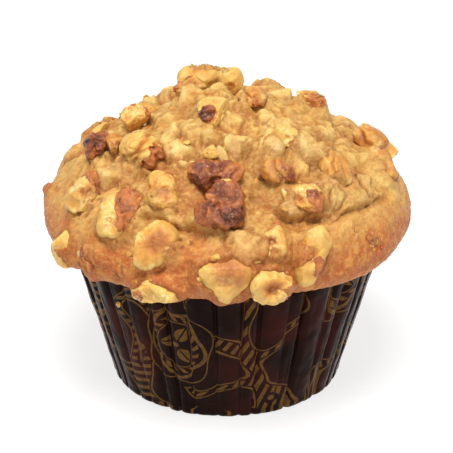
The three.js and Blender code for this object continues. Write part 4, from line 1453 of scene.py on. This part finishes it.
plain_radius = add(tree, "VectorMath", {0: local}, "Value", operation="LENGTH")
shrink = add(tree, "Math", {0: third_draw, 1: SHRINK, 2: 1}, operation="MULTIPLY_ADD")
radius = add(tree, "Math", {0: plain_radius, 1: shrink}, operation="MULTIPLY")
bearing = add(tree, "Math", {0: shifted[1], 1: shifted[0]}, operation="ARCTAN2")
turned = add(tree, "Math", {0: first_draw, 1: 2 * math.pi, 2: bearing}, operation="MULTIPLY_ADD")
print("a brick of the print is", ROSETTE_PITCH, "by", ROW_PITCH, "mm")

# %% The rosettes
BAND_RADIUS = 12.6
BAND_HALF = 0.62
SCALLOPS = 5
SCALLOP_DEPTH = 0.9
OUTER_LINE = (BAND_RADIUS + 3, -1.2)  # radius and depth of its scallops, against the band's
INNER_LINE = 8.9
LINE_HALF = 0.22
SMALL_LEAVES = 19
SMALL_LEAF_ZONE = (10.4, 0.95)  # middle and half width of their ring
SWIRL = 1.5  # how much they slant
BIG_LEAVES = 3
BIG_LEAF_SPAN = (1.6, 8.0)
BIG_LEAF_HALF = 2.3
MIDRIB_HALF = 0.25
DOT_RADIUS = 1.0
ROSETTE_SHARE = 0.62  # of the bricks, the rest are crossed by a ribbon

scallop_turn = add(tree, "Math", {0: turned, 1: SCALLOPS}, operation="MULTIPLY")
scallop = add(tree, "Math", {0: scallop_turn}, operation="COSINE")
band_middle, outer_middle = [
    add(tree, "Math", {0: scallop, 1: depth, 2: middle}, operation="MULTIPLY_ADD")
    for middle, depth in ((BAND_RADIUS, SCALLOP_DEPTH), OUTER_LINE)
]
leaf_swirl = add(tree, "Math", {0: radius, 1: SWIRL}, operation="MULTIPLY")
leaf_turn = add(tree, "Math", {0: turned, 1: SMALL_LEAVES, 2: leaf_swirl}, operation="MULTIPLY_ADD")
leaf_wave = add(tree, "Math", {0: leaf_turn}, operation="SINE")
leaf_on = add(tree, "Math", {0: leaf_wave, 1: 0.15}, operation="GREATER_THAN")
band, outer_line, inner_line, leaf_zone = [
    add(tree, "Math", {0: radius, 1: middle, 2: half}, operation="COMPARE")
    for middle, half in (
        (band_middle, BAND_HALF), (outer_middle, LINE_HALF), (INNER_LINE, LINE_HALF), SMALL_LEAF_ZONE,
    )
]
small_leaves = add(tree, "Math", {0: leaf_on, 1: leaf_zone}, operation="MULTIPLY")

sector = add(tree, "Math", {0: turned, 1: BIG_LEAVES / (2 * math.pi)}, operation="MULTIPLY")
in_sector = add(tree, "Math", {0: sector, 1: 1}, operation="FLOORED_MODULO")
off_axis = add(tree, "Math", {0: in_sector, 1: 0.5}, operation="SUBTRACT")
off_angle = add(tree, "Math", {0: off_axis, 1: 2 * math.pi / BIG_LEAVES}, operation="MULTIPLY")
across_signed = add(tree, "Math", {0: off_angle, 1: radius}, operation="MULTIPLY")
across = add(tree, "Math", {0: across_signed}, operation="ABSOLUTE")
leaf_start, leaf_end = BIG_LEAF_SPAN
leaf_span = add(tree, "MapRange", {0: radius, 1: leaf_start, 2: leaf_end, 4: math.pi})
leaf_shape = add(tree, "Math", {0: leaf_span}, operation="SINE")
leaf_width = add(tree, "Math", {0: leaf_shape, 1: BIG_LEAF_HALF}, operation="MULTIPLY")
in_leaf = add(tree, "Math", {0: across, 1: leaf_width}, operation="LESS_THAN")
off_midrib = add(tree, "Math", {0: across, 1: MIDRIB_HALF}, operation="GREATER_THAN")
big_leaves = add(tree, "Math", {0: in_leaf, 1: off_midrib}, operation="MULTIPLY")
dot = add(tree, "Math", {0: radius, 1: DOT_RADIUS}, operation="LESS_THAN")

rosette = band
for shape in (outer_line, inner_line, small_leaves, big_leaves, dot):
    rosette = add(tree, "Math", {0: rosette, 1: shape}, operation="MAXIMUM")
has_rosette = add(tree, "Math", {0: second_draw, 1: ROSETTE_SHARE}, operation="LESS_THAN")
rosette = add(tree, "Math", {0: rosette, 1: has_rosette}, operation="MULTIPLY")
print("rosettes are", 2 * OUTER_LINE[0], "mm across")

# %% The ribbons
RIBBON_BEND = 26.0  # mm over which a ribbon turns
RIBBON_HALF = 0.034  # in the noise's own measure
RIBBON_LINE = 0.0055
STROKE_SLANT = (2.2, 1.5, 0)
STROKE_HALF = 0.02
CLEAR_RADIUS = BAND_RADIUS + 4.5

drift_inputs = {"Vector": sheet_place, "Scale": 1 / RIBBON_BEND, "Detail": 1}
drift = add(tree, "TexNoise", drift_inputs, noise_dimensions="2D")
off_middle = add(tree, "Math", {0: drift, 1: 0.5}, operation="SUBTRACT")
off_ribbon = add(tree, "Math", {0: off_middle}, operation="ABSOLUTE")
ribbon_edge = add(tree, "Math", {0: off_ribbon, 1: RIBBON_HALF, 2: RIBBON_LINE}, operation="COMPARE")
slant = add(tree, "VectorMath", {0: sheet_place, 1: STROKE_SLANT}, "Value", operation="DOT_PRODUCT")
stroke = add(tree, "Math", {0: slant}, operation="SINE")
stroke_on = add(tree, "Math", {0: stroke, 1: 0.1}, operation="GREATER_THAN")
in_ribbon = add(tree, "Math", {0: off_ribbon, 1: STROKE_HALF}, operation="LESS_THAN")
strokes = add(tree, "Math", {0: stroke_on, 1: in_ribbon}, operation="MULTIPLY")
ribbon = add(tree, "Math", {0: ribbon_edge, 1: strokes}, operation="MAXIMUM")
outside = add(tree, "Math", {0: radius, 1: CLEAR_RADIUS}, operation="GREATER_THAN")
no_rosette = add(tree, "Math", {0: second_draw, 1: ROSETTE_SHARE}, operation="GREATER_THAN")
free = add(tree, "Math", {0: outside, 1: no_rosette}, operation="MAXIMUM")
ribbon = add(tree, "Math", {0: ribbon, 1: free}, operation="MULTIPLY")
print("a ribbon's strokes are", round(2 * math.pi / math.hypot(*STROKE_SLANT), 1), "mm apart")

# %% Paper and ink
place = add(tree, "TexCoord", output="Object")
ink = add(tree, "Math", {0: rosette, 1: ribbon}, operation="MAXIMUM")
wear = add(tree, "TexNoise", {"Vector": place, "Scale": per_mm(1.2), "Detail": 3})
worn = add(tree, "MapRange", {0: wear, 1: 0.3, 2: 0.6, 3: 0.55})
printed = add(tree, "Math", {0: ink, 1: worn}, operation="MULTIPLY")
tint = add(tree, "TexNoise", {"Vector": place, "Scale": per_mm(14), "Detail": 2})
paper_colour = add_ramp(tree, tint, [(0.3, "#160b09"), (0.5, "#21110d"), (0.7, "#371612")])
inked = coats(tree, paper_colour, (printed, "#664824"))
tree.links.new(inked, shader.inputs["Base Color"])
upright = add(tree, "VectorMath", {0: place, 1: (1, 1, 0.4)}, operation="MULTIPLY")
crinkle = add(tree, "TexNoise", {"Vector": upright, "Scale": per_mm(2.5), "Detail": 3})
crinkled = add(tree, "Bump", {"Height": crinkle, "Strength": 0.6, "Distance": 0.5 * MM})
tree.links.new(crinkled, shader.inputs["Normal"])
print("paper has", len(tree.nodes), "nodes")

# %% [markdown]
# ## Dress the frame
#
# Each piece gets its finish, rides on the muffin's one body, and hides the solids it covers.

# %% Hand the pieces to the frame
def dress(piece, material, slot, *nodes):
    """Gives a piece its material and ties it to the frame."""
    piece.data.materials.append(material)
    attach(piece, "root")
    if nodes:
        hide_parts(*nodes)


dress(cake, crust, "cake", "cake")
dress(cup, paper, "paper", "paper_case")
dress(crumbs, walnut, "walnut")
for name, kernel in kernels.items():
    dress(kernel["piece"], walnut, "walnut", name)
print("pieces on the frame:", 3 + len(kernels))

# %% [markdown]
# ## Floor, light and camera
#
# Food is shown on white, with big soft lights. A white floor, an even white surround, one wide lamp
# above and a little in front, and a weaker one at each side give the pale ground and the soft shadow
# under the cup. The camera has a long lens from a little above, so that the cup's sides hardly converge.

# %% Floor
FLOOR_HALF = 1.5
FLOOR_GLOW = 0.76  # lifts the ground to the white of the surround
floor_mesh = bpy.data.meshes.new("floor")
floor_mesh.from_pydata(
    [(FLOOR_HALF * x, FLOOR_HALF * y, 0) for x, y in ((-1, -1), (1, -1), (1, 1), (-1, 1))],
    [],
    [(0, 1, 2, 3)],
)
floor = bpy.data.objects.new("floor", floor_mesh)
bpy.context.scene.collection.objects.link(floor)
white, tree, shader = new_material(
    "white_paper_ground",
    Base_Color=linear("#8e8e8e"),
    Roughness=0.9,
    Specular_IOR_Level=0.1,
    Emission_Color=linear("#ffffff"),
    Emission_Strength=FLOOR_GLOW,
)
floor_mesh.materials.append(white)
print("floor is", 2 * FLOOR_HALF, "m wide")

# %% Light
SURROUND = 0.48
LAMP_AIM = (0, 0, 0.04)

world = bpy.data.worlds.new("white_surround")
bpy.context.scene.world = world
world.use_nodes = True
background = world.node_tree.nodes["Background"]
background.inputs["Color"].default_value = linear("#fff8ee")
background.inputs["Strength"].default_value = SURROUND


def lamp(name, place, power, size):
    """A square area lamp at a place in metres, turned towards the muffin."""
    light = bpy.data.lights.new(name, "AREA")
    light.energy = power
    light.size = size
    holder = bpy.data.objects.new(name, light)
    holder.location = place
    holder.rotation_euler = (Vector(LAMP_AIM) - Vector(place)).to_track_quat("-Z", "Y").to_euler()
    bpy.context.scene.collection.objects.link(holder)
    return holder


lamp("key", (-0.02, -0.3, 0.95), 10.5, 0.4)
lamp("fill_right", (0.7, -0.7, 0.5), 1.5, 0.6)
lamp("fill_left", (-0.7, -0.6, 0.4), 1.0, 0.6)
print("lamps: key and two fills")

# %% Camera
CAMERA_DISTANCE = 0.5
CAMERA_TARGET = Vector((0, 0, 0.0388))
SENSOR = 36.0
LENS = 156.7

camera_data = bpy.data.cameras.new("camera")
camera_data.sensor_width = SENSOR
camera_data.lens = LENS
camera = bpy.data.objects.new("camera", camera_data)
camera.location = CAMERA_TARGET + CAMERA_DISTANCE * Vector(TOWARDS)
camera.rotation_euler = (CAMERA_TARGET - camera.location).to_track_quat("-Z", "Y").to_euler()
bpy.context.scene.collection.objects.link(camera)
bpy.context.scene.camera = camera
bpy.context.scene.view_settings.view_transform = "Standard"
print("camera at", [round(c, 3) for c in camera.location])
